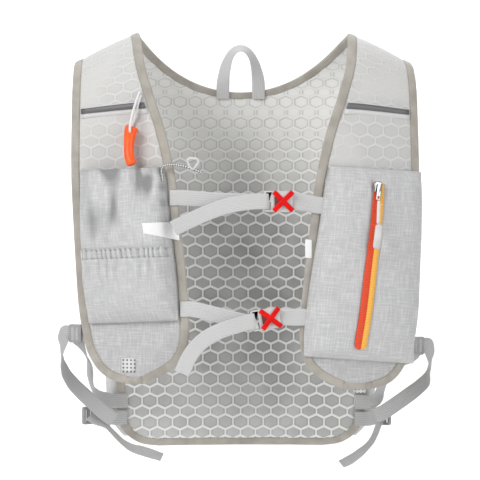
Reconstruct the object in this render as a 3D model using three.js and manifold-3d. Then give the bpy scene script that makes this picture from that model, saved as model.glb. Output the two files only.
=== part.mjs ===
import * as THREE from "three";
import { mergeVertices } from "three/addons/utils/BufferGeometryUtils.js";
import Module from "manifold-3d";

// A running hydration vest in millimetres, +Z up, in the form that it has on a wearer who faces -Y.
// The origin lies midway between the shoulders, level with the top of the shoulder straps.
// Right and left are the wearer's, so the right side is at -X.
// A place on the vest is (x, s): s runs along the cloth from the shoulder ridge, negative down the front.

const wasm = await Module();
wasm.setup();

// Body
const HALF_WIDTH = 172; // centre to the outer edge of a front panel
const NECK_HALF = 104; // centre to the inner edge of a shoulder strap, at the ridge
const NECK_DIP = 99; // ridge to the neckline's lowest point
const FRONT_RUN = 401; // ridge to the bottom of a front panel
const BACK_RUN = 465; // ridge to the hem of the back
const FRONT_DEPTH = 85; // ridge plane to the chest
const BACK_DEPTH = 75; // ridge plane to the back
const ARCH_RISE = 60; // height of the arch over the shoulder
const CHEST_WRAP = 45; // how far the chest falls back at its outer edge
const BACK_WRAP = 35;
const WRAP_POWER = 2.2;
const SHOULDER_SLOPE = 0.5; // fall for each millimetre outward
const SLOPE_ROUND = 6;
const SLOPE_FADE = 180; // the slope has levelled out this far down the cloth
const ROLL_LENGTH = 45; // lowest stretch, which curls
const FRONT_ROLL = 6; // curl towards the wearer
const BACK_ROLL = 14; // curl away from the wearer

// Cloth and tape
const PANEL_WALL = 3;
const BACK_WALL = 4;
const BINDING_WIDTH = 9;
const BINDING_WALL = 5;
const POCKET_WALL = 1.2;
const SEAM_GAP = 0.5;
const CLOTH_GAP = 0.5;
const WEBBING_WIDTH = 15;
const WEBBING_WALL = 1.4;
const TAPE_WALL = 1;
const ELASTIC_WIDTH = 16.5;
const ELASTIC_WALL = 2;

// Pockets
const BOTTLE_BULGE = 24;
const BOTTLE_FOLDS = 4;
const BOTTLE_FOLD_DEPTH = 2.4;
const ELASTIC_EASE = 2.2; // how far the elastic hem stands off the bottle pocket
const ZIP_BULGE = 19;
const REAR_BULGE = 24;
const REAR_WALL = 1.5;

// Zip
const ZIP_WALL = 1.2;
const ORANGE_WIDTH = 6.4;
const YELLOW_WIDTH = 5.2;
const ZIP_SPLIT = 0.6;
const SLIDER_WALL = 3;

// Fittings
const BUCKLE_LENGTH = 28;
const BUCKLE_HEIGHT = 20;
const BUCKLE_WALL = 3;
const CROSS_WALL = 2.6;
const CROSS_LENGTH = 20;
const CROSS_ARM = 5.4;
const LOCK_WIDTH = 14;
const LOCK_HEIGHT = 18;
const LOCK_WALL = 3.6;
const CHEST_REACH = 7; // how far the buckles stand ahead of the chest
const WHISTLE_DIAMETER = 10.6;
const WHISTLE_MOUTH = 3.2;
const CORD_DIAMETER = 2.4;
const FIT_GAP = 0.35;

// Outline of a front panel: share of FRONT_RUN, then the inner edge as a share of NECK_HALF
// and the outer edge as a share of HALF_WIDTH.
const FRONT_INNER = [
  { along: 0, out: 1 },
  { along: 0.19, out: 0.95 },
  { along: 0.29, out: 0.873 },
  { along: 0.39, out: 0.75 },
  { along: 0.51, out: 0.65 },
  { along: 0.61, out: 0.61 },
  { along: 0.72, out: 0.563 },
  { along: 0.82, out: 0.533 },
  { along: 0.885, out: 0.53 },
  { along: 0.935, out: 0.585 },
  { along: 0.97, out: 0.72 },
  { along: 1, out: 0.95 },
];
const FRONT_OUTER = [
  { along: 0, out: 0.971 },
  { along: 0.2, out: 0.977 },
  { along: 0.34, out: 0.982 },
  { along: 0.48, out: 0.985 },
  { along: 0.6, out: 0.974 },
  { along: 0.72, out: 0.958 },
  { along: 0.82, out: 0.94 },
  { along: 0.905, out: 0.905 },
  { along: 0.945, out: 0.866 },
  { along: 0.972, out: 0.818 },
  { along: 0.99, out: 0.755 },
  { along: 1, out: 0.665 },
];
// Outer edge of the back: the armhole in the first three intervals, then the side and the hem corner.
const BACK_OUTER = [
  { along: 0, out: 0.971 },
  { along: 0.08, out: 0.962 },
  { along: 0.16, out: 0.935 },
  { along: 0.25, out: 0.885 },
  { along: 0.4, out: 0.82 },
  { along: 0.55, out: 0.775 },
  { along: 0.7, out: 0.75 },
  { along: 0.84, out: 0.742 },
  { along: 0.92, out: 0.738 },
  { along: 0.965, out: 0.7 },
  { along: 0.992, out: 0.61 },
  { along: 1, out: 0.5 },
];
const YOKE_ROWS = 3; // intervals of BACK_OUTER that lie beside the neckline
const CHAIN_STEPS = 3; // facets for each interval of an outline
const PANEL_COLUMNS = 5;

// The loaded zip panel hangs a little lower and spreads wider than the bottle panel.
const HANG = {
  right: { sign: -1, lower: 0, inner: 0, outer: 0 },
  left: { sign: 1, lower: 6, inner: 4.5, outer: 8 },
};

// Section of the rear compartment from its rim to its middle: share of the half width, share of the bulge.
const REAR_SECTION = [
  { out: 0.985, lift: 0 },
  { out: 1.045, lift: 0.1 },
  { out: 1.06, lift: 0.32 },
  { out: 1.02, lift: 0.6 },
  { out: 0.9, lift: 0.82 },
  { out: 0.68, lift: 0.94 },
  { out: 0.36, lift: 0.99 },
  { out: 0, lift: 1 },
];
// Its profile from the open top to the hem: share of BACK_RUN, share of the bulge.
const REAR_PROFILE = [
  { along: 0.25, lift: 0.3 },
  { along: 0.29, lift: 0.6 },
  { along: 0.36, lift: 0.85 },
  { along: 0.47, lift: 1 },
  { along: 0.6, lift: 1 },
  { along: 0.73, lift: 0.95 },
  { along: 0.84, lift: 0.8 },
  { along: 0.91, lift: 0.55 },
  { along: 0.955, lift: 0.25 },
  { along: 0.98, lift: 0 },
];

// Section of a boxy pocket, from one side seam to the other: share of the width, share of the bulge.
const BOX_SECTION = [
  { across: 0, lift: 0 },
  { across: 0.025, lift: 0.32 },
  { across: 0.07, lift: 0.66 },
  { across: 0.16, lift: 0.88 },
  { across: 0.32, lift: 0.98 },
  { across: 0.5, lift: 1 },
  { across: 0.68, lift: 0.98 },
  { across: 0.84, lift: 0.88 },
  { across: 0.93, lift: 0.66 },
  { across: 0.975, lift: 0.32 },
  { across: 1, lift: 0 },
];
const ZIP_PROFILE = [
  { along: 0, lift: 0 },
  { along: 0.02, lift: 0.34 },
  { along: 0.06, lift: 0.68 },
  { along: 0.14, lift: 0.9 },
  { along: 0.3, lift: 1 },
  { along: 0.5, lift: 1 },
  { along: 0.7, lift: 1 },
  { along: 0.86, lift: 0.9 },
  { along: 0.94, lift: 0.68 },
  { along: 0.98, lift: 0.34 },
  { along: 1, lift: 0 },
];
const BOTTLE_PROFILE = [
  { along: 0, lift: 0.5 },
  { along: 0.05, lift: 0.52 },
  { along: 0.12, lift: 0.66 },
  { along: 0.22, lift: 0.84 },
  { along: 0.36, lift: 0.97 },
  { along: 0.52, lift: 1 },
  { along: 0.68, lift: 0.95 },
  { along: 0.82, lift: 0.8 },
  { along: 0.92, lift: 0.55 },
  { along: 0.975, lift: 0.26 },
  { along: 1, lift: 0 },
];
// Where the pockets begin and end: shares of FRONT_RUN at the inner and the outer seam.
const BOTTLE_TOP = { inner: 0.478, outer: 0.485 };
const BOTTLE_BOTTOM = { inner: 0.845, outer: 0.855 };
const ELASTIC_TOP = 0.52; // share of the bottle pocket's height
const ZIP_TOP = { inner: 0.474, outer: 0.486 };
const ZIP_BOTTOM = { inner: 0.93, outer: 0.953 };
const ZIP_INSET_TOP = 10.5;
const ZIP_INSET_BOTTOM = 3;

// Line of the zip on the pocket's face: share of the width at its top and bottom, share of the height.
const ZIP_LINE = { top: 0.477, bottom: 0.455, from: 0.078, to: 0.94 };

// Webbing that hangs free: each row goes from the buckle by shares of CHEST_TAIL.
const CHEST_TAIL = 98;
const UPPER_TAIL = [
  { back: 0.05, fall: 0, ahead: 0.01 },
  { back: 0.16, fall: 0.01, ahead: 0.02 },
  { back: 0.34, fall: 0.04, ahead: 0.02 },
  { back: 0.52, fall: 0.1, ahead: 0.01 },
  { back: 0.7, fall: 0.18, ahead: 0.03 },
  { back: 0.88, fall: 0.265, ahead: 0.08 },
];
const LOWER_TAIL = [
  { back: 0.05, fall: 0.01, ahead: 0.01 },
  { back: 0.14, fall: 0.035, ahead: 0.03 },
  { back: 0.27, fall: 0.075, ahead: 0.05 },
  { back: 0.44, fall: 0.16, ahead: 0.04 },
  { back: 0.58, fall: 0.3, ahead: 0.05 },
  { back: 0.68, fall: 0.5, ahead: 0.07 },
];

// Chest straps: where each is sewn (share of FRONT_RUN) and where its buckle sits.
const CHEST = {
  upper: { along: 0.551, buckle: 30, fall: 169, tilt: 0, tail: UPPER_TAIL },
  lower: { along: 0.818, buckle: 18, fall: 282, tilt: 9, tail: LOWER_TAIL },
};

// Side straps: the front lock's place down the panel's edge, the rear lock's offset from the tape's seam,
// the strap behind the panel in millimetres off the straight line, the bowed strap between the locks as
// shares of STRAP_BOW, and the free end as shares of SIDE_TAIL. A turn is in degrees from the front
// outward, and shown is how much of the free end's face looks forward.
const STRAP_BOW = 20;
const SIDE_TAIL = 86;
const SIDE = {
  right: {
    lockAlong: 0.88,
    tapeFace: -1,
    seamAlong: 0.897,
    rearLockOut: 30,
    rearLockAhead: 20,
    strap: [
      { along: 0.3, out: 15, ahead: -5, rise: -3.5, turn: 53 },
      { along: 0.55, out: 7, ahead: 1, rise: 2, turn: 53 },
    ],
    bow: [
      { along: 0.187, out: 0.53, ahead: 0.23, turn: 72 },
      { along: 0.284, out: 0.64, ahead: 0.14, turn: 90 },
      { along: 0.418, out: 0.67, ahead: 0.04, turn: 110 },
      { along: 0.572, out: 0.47, ahead: -0.04, turn: 130 },
      { along: 0.713, out: 0.06, ahead: 0, turn: 150 },
      { along: 0.848, out: -0.42, ahead: 0.09, turn: 160 },
      { along: 0.969, out: -0.87, ahead: 0.29, turn: 165 },
      { along: 1.054, out: -1.26, ahead: 0.48, turn: 168 },
    ],
    tail: [
      { inward: 0.101, fall: 0.068, ahead: 0.036, shown: 0.4 },
      { inward: 0.208, fall: 0.12, ahead: 0.048, shown: 0.22 },
      { inward: 0.291, fall: 0.196, ahead: 0.059, shown: 0.22 },
      { inward: 0.385, fall: 0.289, ahead: 0.071, shown: 0.28 },
      { inward: 0.503, fall: 0.37, ahead: 0.083, shown: 0.5 },
      { inward: 0.633, fall: 0.41, ahead: 0.094, shown: 0.62 },
      { inward: 0.762, fall: 0.45, ahead: 0.106, shown: 0.62 },
      { inward: 0.868, fall: 0.485, ahead: 0.117, shown: 0.5 },
    ],
  },
  left: {
    lockAlong: 0.912,
    tapeFace: -1,
    seamAlong: 0.901,
    rearLockOut: 20,
    rearLockAhead: 17,
    strap: [
      { along: 0.3, out: 2, ahead: -8.5, rise: -6, turn: 30 },
      { along: 0.6, out: -6, ahead: -5.5, rise: -3.5, turn: 30 },
    ],
    bow: [
      { along: 0.2, out: 0.72, ahead: 0.34, turn: 72 },
      { along: 0.314, out: 0.87, ahead: 0.31, turn: 90 },
      { along: 0.448, out: 1.05, ahead: 0.26, turn: 110 },
      { along: 0.571, out: 0.92, ahead: 0.07, turn: 130 },
      { along: 0.7, out: 0.58, ahead: 0.05, turn: 150 },
      { along: 0.841, out: 0.12, ahead: 0.18, turn: 160 },
      { along: 0.939, out: -0.28, ahead: 0.45, turn: 165 },
      { along: 0.98, out: -0.62, ahead: 0.62, turn: 168 },
    ],
    tail: [
      { inward: 0.056, fall: 0.035, ahead: 0.052, shown: 0.35 },
      { inward: 0.087, fall: 0.117, ahead: 0.064, shown: 0.2 },
      { inward: 0.124, fall: 0.21, ahead: 0.076, shown: 0.2 },
      { inward: 0.178, fall: 0.303, ahead: 0.087, shown: 0.25 },
      { inward: 0.261, fall: 0.385, ahead: 0.099, shown: 0.4 },
      { inward: 0.356, fall: 0.46, ahead: 0.11, shown: 0.55 },
      { inward: 0.452, fall: 0.518, ahead: 0.122, shown: 0.6 },
      { inward: 0.529, fall: 0.552, ahead: 0.134, shown: 0.5 },
    ],
  },
};

// Routes of the two cords and of the whistle, chosen by hand.
const WHISTLE_CORD_ROUTE = [
  [-102.6, -75.2, -63],
  [-104.8, -77.6, -69],
  [-107.4, -79.6, -77],
  [-109.8, -83, -86],
  [-111.4, -87.4, -94],
  [-111.8, -88.8, -99.8],
  [-111.8, -86.4, -102],
  [-111.8, -80.6, -102],
  [-111.8, -76.4, -101.6],
  [-111.4, -73.7, -99],
  [-109.4, -73.9, -93.6],
  [-107, -75.9, -86.5],
  [-105, -77, -78],
  [-102.8, -76.6, -70],
  [-101.4, -74.4, -66.2],
];
const DRAWCORD_ROUTE = [
  [-80.2, -86, -149.5],
  [-80.8, -85.8, -144.5],
  [-81.7, -85.4, -139.5],
  [-79.6, -86.4, -134.8],
  [-73.5, -88.5, -133.8],
  [-66, -90.5, -134.2],
  [-58, -91.8, -135.8],
  [-49, -92.2, -138.8],
  [-42.6, -92, -142],
];
const WHISTLE_LINE = [
  [-109.6, -81, -97],
  [-111.6, -81, -103],
  [-112.6, -81.4, -111],
  [-112.9, -82.4, -120],
  [-112.2, -83.6, -127],
  [-109.8, -85, -133.5],
];

// Colours
const CLOTH_GREY = new THREE.MeshStandardMaterial({ color: 0xcdcdcd, roughness: 0.85 });
const MESH_GREY = new THREE.MeshStandardMaterial({ color: 0xa9a9a4, roughness: 0.9 });
const TAUPE = new THREE.MeshStandardMaterial({ color: 0xc5beb1, roughness: 0.9 });
const WEBBING_GREY = new THREE.MeshStandardMaterial({ color: 0xd6d6d6, roughness: 0.8 });
const STRAP_GREY = new THREE.MeshStandardMaterial({ color: 0xb0b0b0, roughness: 0.8 });
const REFLECTIVE = new THREE.MeshStandardMaterial({ color: 0x707070, roughness: 0.4 });
const PLASTIC_GREY = new THREE.MeshStandardMaterial({ color: 0xbdbdbd, roughness: 0.45 });
const LOCK_GREY = new THREE.MeshStandardMaterial({ color: 0x8d8d8d, roughness: 0.5 });
const RED = new THREE.MeshStandardMaterial({ color: 0xe8241c, roughness: 0.35 });
const ORANGE = new THREE.MeshStandardMaterial({ color: 0xff5a12, roughness: 0.35 });
const ZIP_ORANGE = new THREE.MeshStandardMaterial({ color: 0xee4a28, roughness: 0.7 });
const ZIP_YELLOW = new THREE.MeshStandardMaterial({ color: 0xf4b84a, roughness: 0.7 });
const CHROME = new THREE.MeshStandardMaterial({ color: 0xc9c9c9, roughness: 0.2, metalness: 1 });
const WHITE = new THREE.MeshStandardMaterial({ color: 0xf0f0f0, roughness: 0.7 });

const vest = new THREE.Group();

function add(name, geometry, material) {
  const mesh = new THREE.Mesh(geometry, material);
  mesh.name = name;
  vest.add(mesh);
  return mesh;
}

// Shape of the body under the vest.
function arcOf(depth) {
  return (Math.PI / 2) * Math.sqrt((depth ** 2 + ARCH_RISE ** 2) / 2);
}

const CHEST_SIDE = {
  sign: -1,
  depth: FRONT_DEPTH,
  arch: arcOf(FRONT_DEPTH),
  wrap: CHEST_WRAP,
  run: FRONT_RUN,
  roll: -FRONT_ROLL,
};
const BACK_SIDE = {
  sign: 1,
  depth: BACK_DEPTH,
  arch: arcOf(BACK_DEPTH),
  wrap: BACK_WRAP,
  run: BACK_RUN,
  roll: BACK_ROLL,
};

function bodyPoint(x, s) {
  const side = s < 0 ? CHEST_SIDE : BACK_SIDE;
  const run = Math.abs(s);
  const out = Math.abs(x);
  const turn = (Math.min(run / side.arch, 1) * Math.PI) / 2;
  const fall = ARCH_RISE * (1 - Math.cos(turn)) + Math.max(0, run - side.arch);
  const beyond = out - NECK_HALF;
  const slope = (SHOULDER_SLOPE * (beyond + Math.hypot(beyond, SLOPE_ROUND))) / 2;
  const fade = 1 - THREE.MathUtils.smoothstep(run, 0, SLOPE_FADE);
  const wrap = side.wrap * (out / HALF_WIDTH) ** WRAP_POWER;
  const roll = side.roll * Math.max(0, (run - side.run) / ROLL_LENGTH + 1) ** 2;
  const y = side.sign * ((side.depth - wrap) * Math.sin(turn) + roll);
  return new THREE.Vector3(x, y, -fall - slope * fade);
}

// Point on the body with its outward direction, and the directions of growing x and s.
function bodyFrame(x, s) {
  const step = 0.5;
  const along = bodyPoint(x, s + step).sub(bodyPoint(x, s - step));
  const across = bodyPoint(x + step, s).sub(bodyPoint(x - step, s));
  const outward = across.clone().cross(along).normalize();
  return {
    point: bodyPoint(x, s),
    across: across.normalize(),
    along: along.normalize(),
    outward,
  };
}

function onBody(x, s, lift) {
  const frame = bodyFrame(x, s);
  return frame.point.addScaledVector(frame.outward, lift);
}

// Closed solid from triangles over a list of points.
function solid(points, triangles) {
  const geometry = new THREE.BufferGeometry();
  const flat = points.flatMap((p) => [p.x, p.y, p.z]);
  geometry.setAttribute("position", new THREE.Float32BufferAttribute(flat, 3));
  geometry.setIndex(triangles.flat());
  geometry.computeVertexNormals();
  return geometry;
}

// Cloth of even thickness whose middle surface runs through grids of points; grids share their common edges.
function cloth(wall, ...grids) {
  const points = [];
  const faces = [];
  const known = new Map();
  const indexOf = (p) => {
    const key = [p.x, p.y, p.z].map((v) => v.toFixed(3)).join();
    if (!known.has(key)) {
      known.set(key, points.length);
      points.push(p);
    }
    return known.get(key);
  };
  grids.forEach((rows) => {
    const ids = rows.map((row) => row.map(indexOf));
    for (let r = 0; r + 1 < rows.length; r += 1) {
      for (let c = 0; c + 1 < rows[r].length; c += 1) {
        const [a, b, d, e] = [ids[r][c], ids[r][c + 1], ids[r + 1][c + 1], ids[r + 1][c]];
        faces.push([a, b, d], [a, d, e]);
      }
    }
  });
  const normals = points.map(() => new THREE.Vector3());
  const edges = new Map();
  faces.forEach(([a, b, c]) => {
    const side = points[b].clone().sub(points[a]);
    const normal = side.cross(points[c].clone().sub(points[a]));
    [a, b, c].forEach((i) => normals[i].add(normal));
    [[a, b], [b, c], [c, a]].forEach(([i, j]) => edges.set(i + "," + j, [i, j]));
  });
  normals.forEach((n) => n.normalize());
  const count = points.length;
  const top = points.map((p, i) => p.clone().addScaledVector(normals[i], wall / 2));
  const bottom = points.map((p, i) => p.clone().addScaledVector(normals[i], -wall / 2));
  const triangles = [...faces];
  faces.forEach(([a, b, c]) => triangles.push([a + count, c + count, b + count]));
  edges.forEach(([i, j]) => {
    if (!edges.has(j + "," + i)) {
      triangles.push([i, i + count, j + count], [i, j + count, j]);
    }
  });
  return solid([...top, ...bottom], triangles);
}

// Smooth line through a table's points, and a value read from a table by the share that it runs over.
function chain(rows, run, reach, sign) {
  const points = rows.map((row) => new THREE.Vector2(row.out * reach, sign * row.along * run));
  return new THREE.SplineCurve(points).getPoints((rows.length - 1) * CHAIN_STEPS);
}

function read(table, key, value, at) {
  const next = table.findIndex((row) => row[key] >= at);
  if (next === 0) return table[0][value];
  if (next < 0) return table[table.length - 1][value];
  const [a, b] = [table[next - 1], table[next]];
  return THREE.MathUtils.mapLinear(at, a[key], b[key], a[value], b[value]);
}

// Moves an outline sideways over the cloth; its first point, at the bottom of the front panel, moves
// straight up, and a point on the middle line stays on it.
function inset(points, distance) {
  return points.map((p, i) => {
    if (i === 0) return new THREE.Vector2(p.x, p.y + Math.abs(distance));
    if (p.x < 1e-6) return new THREE.Vector2(0, p.y + distance);
    const before = points[Math.max(i - 1, 0)];
    const after = points[Math.min(i + 1, points.length - 1)];
    const t = after.clone().sub(before).normalize();
    return new THREE.Vector2(p.x + distance * t.y, p.y - distance * t.x);
  });
}

function between(a, b, columns) {
  return Array.from({ length: columns + 1 }, (_, c) => a.clone().lerp(b, c / columns));
}

// Edges of each half of the vest, from the bottom of the front panel over the shoulder to the middle of the back.
function halfOf({ sign, lower, inner, outer }) {
  const spread = (rows, reach, by) =>
    rows.map(({ along, out }) => ({
      along: along * (1 + lower / FRONT_RUN),
      out: out + (by * along ** 2) / reach,
    }));
  const frontInner = chain(spread(FRONT_INNER, NECK_HALF, -inner), FRONT_RUN, NECK_HALF, -1);
  const frontOuter = chain(spread(FRONT_OUTER, HALF_WIDTH, outer), FRONT_RUN, HALF_WIDTH, -1);
  const neckSteps = YOKE_ROWS * CHAIN_STEPS;
  const neck = Array.from({ length: neckSteps + 1 }, (_, k) => {
    const angle = ((k / neckSteps) * Math.PI) / 2;
    return new THREE.Vector2(NECK_HALF * Math.cos(angle), NECK_DIP * Math.sin(angle));
  });
  const back = chain(BACK_OUTER, BACK_RUN, HALF_WIDTH, 1);
  return {
    sign,
    ridge: frontInner.length - 1,
    neckEdge: [...frontInner.reverse(), ...neck.slice(1)],
    armEdge: [...frontOuter.reverse(), ...back.slice(1)],
  };
}

const RIGHT = halfOf(HANG.right);
const LEFT = halfOf(HANG.left);

// Place on one half: out is the distance from the middle.
function place(half, out, s, lift) {
  return onBody(half.sign * out, s, lift);
}

// How far out an edge lies at a place down the front.
function edgeOut(half, edge, s) {
  const table = half[edge].slice(0, half.ridge + 1).map((p) => ({ s: p.y, out: p.x }));
  return read(table, "s", "out", s);
}

// Panels: mesh between the bindings.
const ridgeSeam = (p, sign) => {
  const s = sign < 0 ? Math.min(p.y, -SEAM_GAP / 2) : Math.max(p.y, SEAM_GAP / 2);
  return new THREE.Vector2(p.x, s);
};

function frontPanel(half) {
  const inset1 = inset(half.neckEdge, BINDING_WIDTH + SEAM_GAP).slice(0, half.ridge + 1);
  const inset2 = inset(half.armEdge, -BINDING_WIDTH - SEAM_GAP).slice(0, half.ridge + 1);
  const rows = inset1.map((p, k) => between(ridgeSeam(p, -1), ridgeSeam(inset2[k], -1), PANEL_COLUMNS));
  return cloth(PANEL_WALL, rows.map((row) => row.map((p) => place(half, p.x, p.y, 0))));
}

function backPanel() {
  const neck = inset(RIGHT.neckEdge, BINDING_WIDTH + SEAM_GAP).slice(RIGHT.ridge);
  const arm = inset(RIGHT.armEdge, -BINDING_WIDTH - SEAM_GAP).slice(RIGHT.ridge);
  const yokes = neck.map((p, k) => between(ridgeSeam(p, 1), ridgeSeam(arm[k], 1), PANEL_COLUMNS));
  const first = arm[neck.length - 1];
  const last = arm[arm.length - 1];
  const start = neck[neck.length - 1];
  const body = arm.slice(neck.length - 1).map((p) => {
    const s = THREE.MathUtils.mapLinear(p.y, first.y, last.y, start.y, last.y);
    return between(new THREE.Vector2(0, s), p, PANEL_COLUMNS);
  });
  const lay = (rows, sign) => rows.map((row) => row.map((p) => onBody(sign * p.x, p.y, 0)));
  const mirror = (rows) => lay(rows, -1).map((row) => row.reverse());
  return cloth(BACK_WALL, lay(yokes, 1), mirror(yokes), lay(body, 1), mirror(body));
}

add("front_panel_right", frontPanel(RIGHT), MESH_GREY);
add("front_panel_left", frontPanel(LEFT), MESH_GREY);
add("back_panel", backPanel(), MESH_GREY);

// Bindings: tape along every edge.
function tapeRows(half, edge, inner) {
  return edge.map((p, k) => [p, inner[k]].map(({ x, y }) => place(half, x, y, 0)));
}

function neckBinding() {
  const [right, left] = [RIGHT, LEFT].map((half) =>
    tapeRows(half, half.neckEdge, inset(half.neckEdge, BINDING_WIDTH)),
  );
  return cloth(BINDING_WALL, [...right, ...left.reverse().slice(1)]);
}

function armholeBinding(half) {
  const last = half.armEdge[half.armEdge.length - 1];
  const start = new THREE.Vector2(half.neckEdge[0].x + SEAM_GAP, half.armEdge[0].y);
  const hem = [0.66, 0.33, 0].map(
    (share) => new THREE.Vector2(Math.max(last.x * share, SEAM_GAP / 2), last.y),
  );
  const raised = (p, by) => new THREE.Vector2(p.x, p.y + by);
  const inner = [
    raised(start, BINDING_WIDTH),
    ...inset(half.armEdge, -BINDING_WIDTH),
    ...hem.map((p) => raised(p, -BINDING_WIDTH)),
  ];
  return cloth(BINDING_WALL, tapeRows(half, [start, ...half.armEdge, ...hem], inner));
}

add("neck_binding", neckBinding(), TAUPE);
add("armhole_binding_right", armholeBinding(RIGHT), TAUPE);
add("armhole_binding_left", armholeBinding(LEFT), TAUPE);

// Rear compartment: a shallow cloth shell on the outside of the back, open at the top.
function rearShell() {
  const base = BINDING_WALL / 2 + CLOTH_GAP + REAR_WALL / 2;
  const edge = BACK_OUTER.map((row) => ({ along: row.along, out: row.out * HALF_WIDTH }));
  const section = [
    ...REAR_SECTION.map(({ out, lift }) => ({ out: -out, lift })),
    ...REAR_SECTION.slice(0, -1).reverse(),
  ];
  const rows = REAR_PROFILE.map(({ along, lift: rise }) => {
    const half = read(edge, "along", "out", along);
    return section.map(({ out, lift }) =>
      onBody(out * half, along * BACK_RUN, base + REAR_BULGE * rise * lift),
    );
  });
  return cloth(REAR_WALL, rows);
}

add("rear_shell", rearShell(), CLOTH_GREY);

// A pocket on a front panel: u runs from its inner to its outer seam, v from its top to its bottom.
function pocket({ half, top, bottom, innerInset, outerInset, base, liftAt }) {
  const sAt = (u, v) => {
    const from = THREE.MathUtils.lerp(top.inner, top.outer, u);
    const to = THREE.MathUtils.lerp(bottom.inner, bottom.outer, u);
    return -FRONT_RUN * THREE.MathUtils.lerp(from, to, v);
  };
  const point = (u, v, extra = 0) => {
    const s = sAt(u, v);
    const reach = Math.max(s, -0.9 * FRONT_RUN);
    const inner = edgeOut(half, "neckEdge", reach) + innerInset(v);
    const outer = edgeOut(half, "armEdge", reach) - outerInset;
    const out = THREE.MathUtils.lerp(inner, outer, u);
    return place(half, out, s, base + liftAt(u, v) + extra);
  };
  return { point };
}

const boxLift = (profile, bulge) => (u, v) =>
  bulge * read(BOX_SECTION, "across", "lift", u) * read(profile, "along", "lift", v);

function bottleLift(u, v) {
  const gather = 1 - THREE.MathUtils.smoothstep(v, 0.05, 0.3);
  const fold = 1 + Math.sin(2 * Math.PI * BOTTLE_FOLDS * u);
  const side = Math.sin(Math.PI * u);
  return boxLift(BOTTLE_PROFILE, BOTTLE_BULGE)(u, v) + (BOTTLE_FOLD_DEPTH * fold * gather * side) / 2;
}

const bottlePocket = pocket({
  half: RIGHT,
  top: BOTTLE_TOP,
  bottom: BOTTLE_BOTTOM,
  innerInset: () => BINDING_WIDTH + 1,
  outerInset: BINDING_WIDTH + 1,
  base: PANEL_WALL / 2 + CLOTH_GAP + POCKET_WALL / 2,
  liftAt: bottleLift,
});
const zipPocket = pocket({
  half: LEFT,
  top: ZIP_TOP,
  bottom: ZIP_BOTTOM,
  innerInset: (v) => THREE.MathUtils.lerp(ZIP_INSET_TOP, ZIP_INSET_BOTTOM, v),
  outerInset: 0,
  base: BINDING_WALL / 2 + CLOTH_GAP + POCKET_WALL / 2,
  liftAt: boxLift(ZIP_PROFILE, ZIP_BULGE),
});

const sectionShares = BOX_SECTION.map((row) => row.across);
const foldShares = [0, 0.03, 0.07, ...Array.from({ length: 13 }, (_, i) => 0.12 + i * 0.0633), 0.93, 0.97, 1];
const bottleShares = [0, 0.025, ...BOTTLE_PROFILE.slice(1).map((row) => row.along)];

function pocketGrid(shape, columns, rows) {
  return rows.map((v) => columns.map((u) => shape.point(u, v)));
}

// Grid that stands off another one on the side away from the wearer.
function standOff(rows, distanceAt) {
  const lastRow = rows.length - 1;
  const lastColumn = rows[0].length - 1;
  const normalAt = (r, c) => {
    const down = rows[Math.min(r + 1, lastRow)][c].clone().sub(rows[Math.max(r - 1, 0)][c]);
    const over = rows[r][Math.min(c + 1, lastColumn)].clone().sub(rows[r][Math.max(c - 1, 0)]);
    return down.cross(over).normalize();
  };
  const middle = normalAt(Math.floor(lastRow / 2), Math.floor(lastColumn / 2));
  const towards = middle.y < 0 ? 1 : -1;
  return rows.map((row, r) =>
    row.map((p, c) =>
      p.clone().addScaledVector(normalAt(r, c), towards * distanceAt(c / lastColumn, r / lastRow)),
    ),
  );
}

add("bottle_pocket", cloth(POCKET_WALL, pocketGrid(bottlePocket, foldShares, bottleShares)), CLOTH_GREY);

// Low pocket over the bottle pocket, held in at its hem by elastic.
const elasticShares = bottleShares.filter((v) => v >= ELASTIC_TOP);
const elasticEase = (u, v) => {
  const ripple = 1 + 0.4 * Math.sin(12 * Math.PI * u);
  return POCKET_WALL + CLOTH_GAP + ELASTIC_EASE * Math.sin(Math.PI * u) * ripple * (1 - v);
};
const elasticGrid = standOff(pocketGrid(bottlePocket, foldShares, elasticShares), elasticEase);
add("elastic_pocket", cloth(POCKET_WALL, elasticGrid), CLOTH_GREY);

const zipShares = ZIP_PROFILE.map((row) => row.along);
add("zip_pocket", cloth(POCKET_WALL, pocketGrid(zipPocket, sectionShares, zipShares)), CLOTH_GREY);

// Zip: an orange and a yellow tape side by side down the pocket's face.
const ZIP_LIFT = POCKET_WALL / 2 + CLOTH_GAP + ZIP_WALL / 2;
const zipWidth = zipPocket.point(0.3, 0.5).distanceTo(zipPocket.point(0.7, 0.5)) / 0.4;

function zipPoint(t, across, lift) {
  const u = THREE.MathUtils.lerp(ZIP_LINE.top, ZIP_LINE.bottom, t) + across / zipWidth;
  const v = THREE.MathUtils.lerp(ZIP_LINE.from, ZIP_LINE.to, t);
  return zipPocket.point(u, v, lift);
}

function zipTape(from, to) {
  const inside = zipShares.filter((v) => v > ZIP_LINE.from && v < ZIP_LINE.to);
  const shares = [ZIP_LINE.from, ...inside, ZIP_LINE.to].map((v) =>
    THREE.MathUtils.mapLinear(v, ZIP_LINE.from, ZIP_LINE.to, 0, 1),
  );
  return cloth(ZIP_WALL, shares.map((t) => [from, to].map((across) => zipPoint(t, across, ZIP_LIFT))));
}

add("zip_tape_orange", zipTape(-ORANGE_WIDTH - ZIP_SPLIT / 2, -ZIP_SPLIT / 2), ZIP_ORANGE);
add("zip_tape_yellow", zipTape(ZIP_SPLIT / 2, ZIP_SPLIT / 2 + YELLOW_WIDTH), ZIP_YELLOW);

// Joins and cuts are made on closed bodies.
function toManifold(geometry) {
  const bare = geometry.clone().deleteAttribute("normal").deleteAttribute("uv");
  const merged = mergeVertices(bare, 1e-4);
  return new wasm.Manifold(
    new wasm.Mesh({
      numProp: 3,
      vertProperties: new Float32Array(merged.attributes.position.array),
      triVerts: new Uint32Array(merged.index.array),
    }),
  );
}

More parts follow.
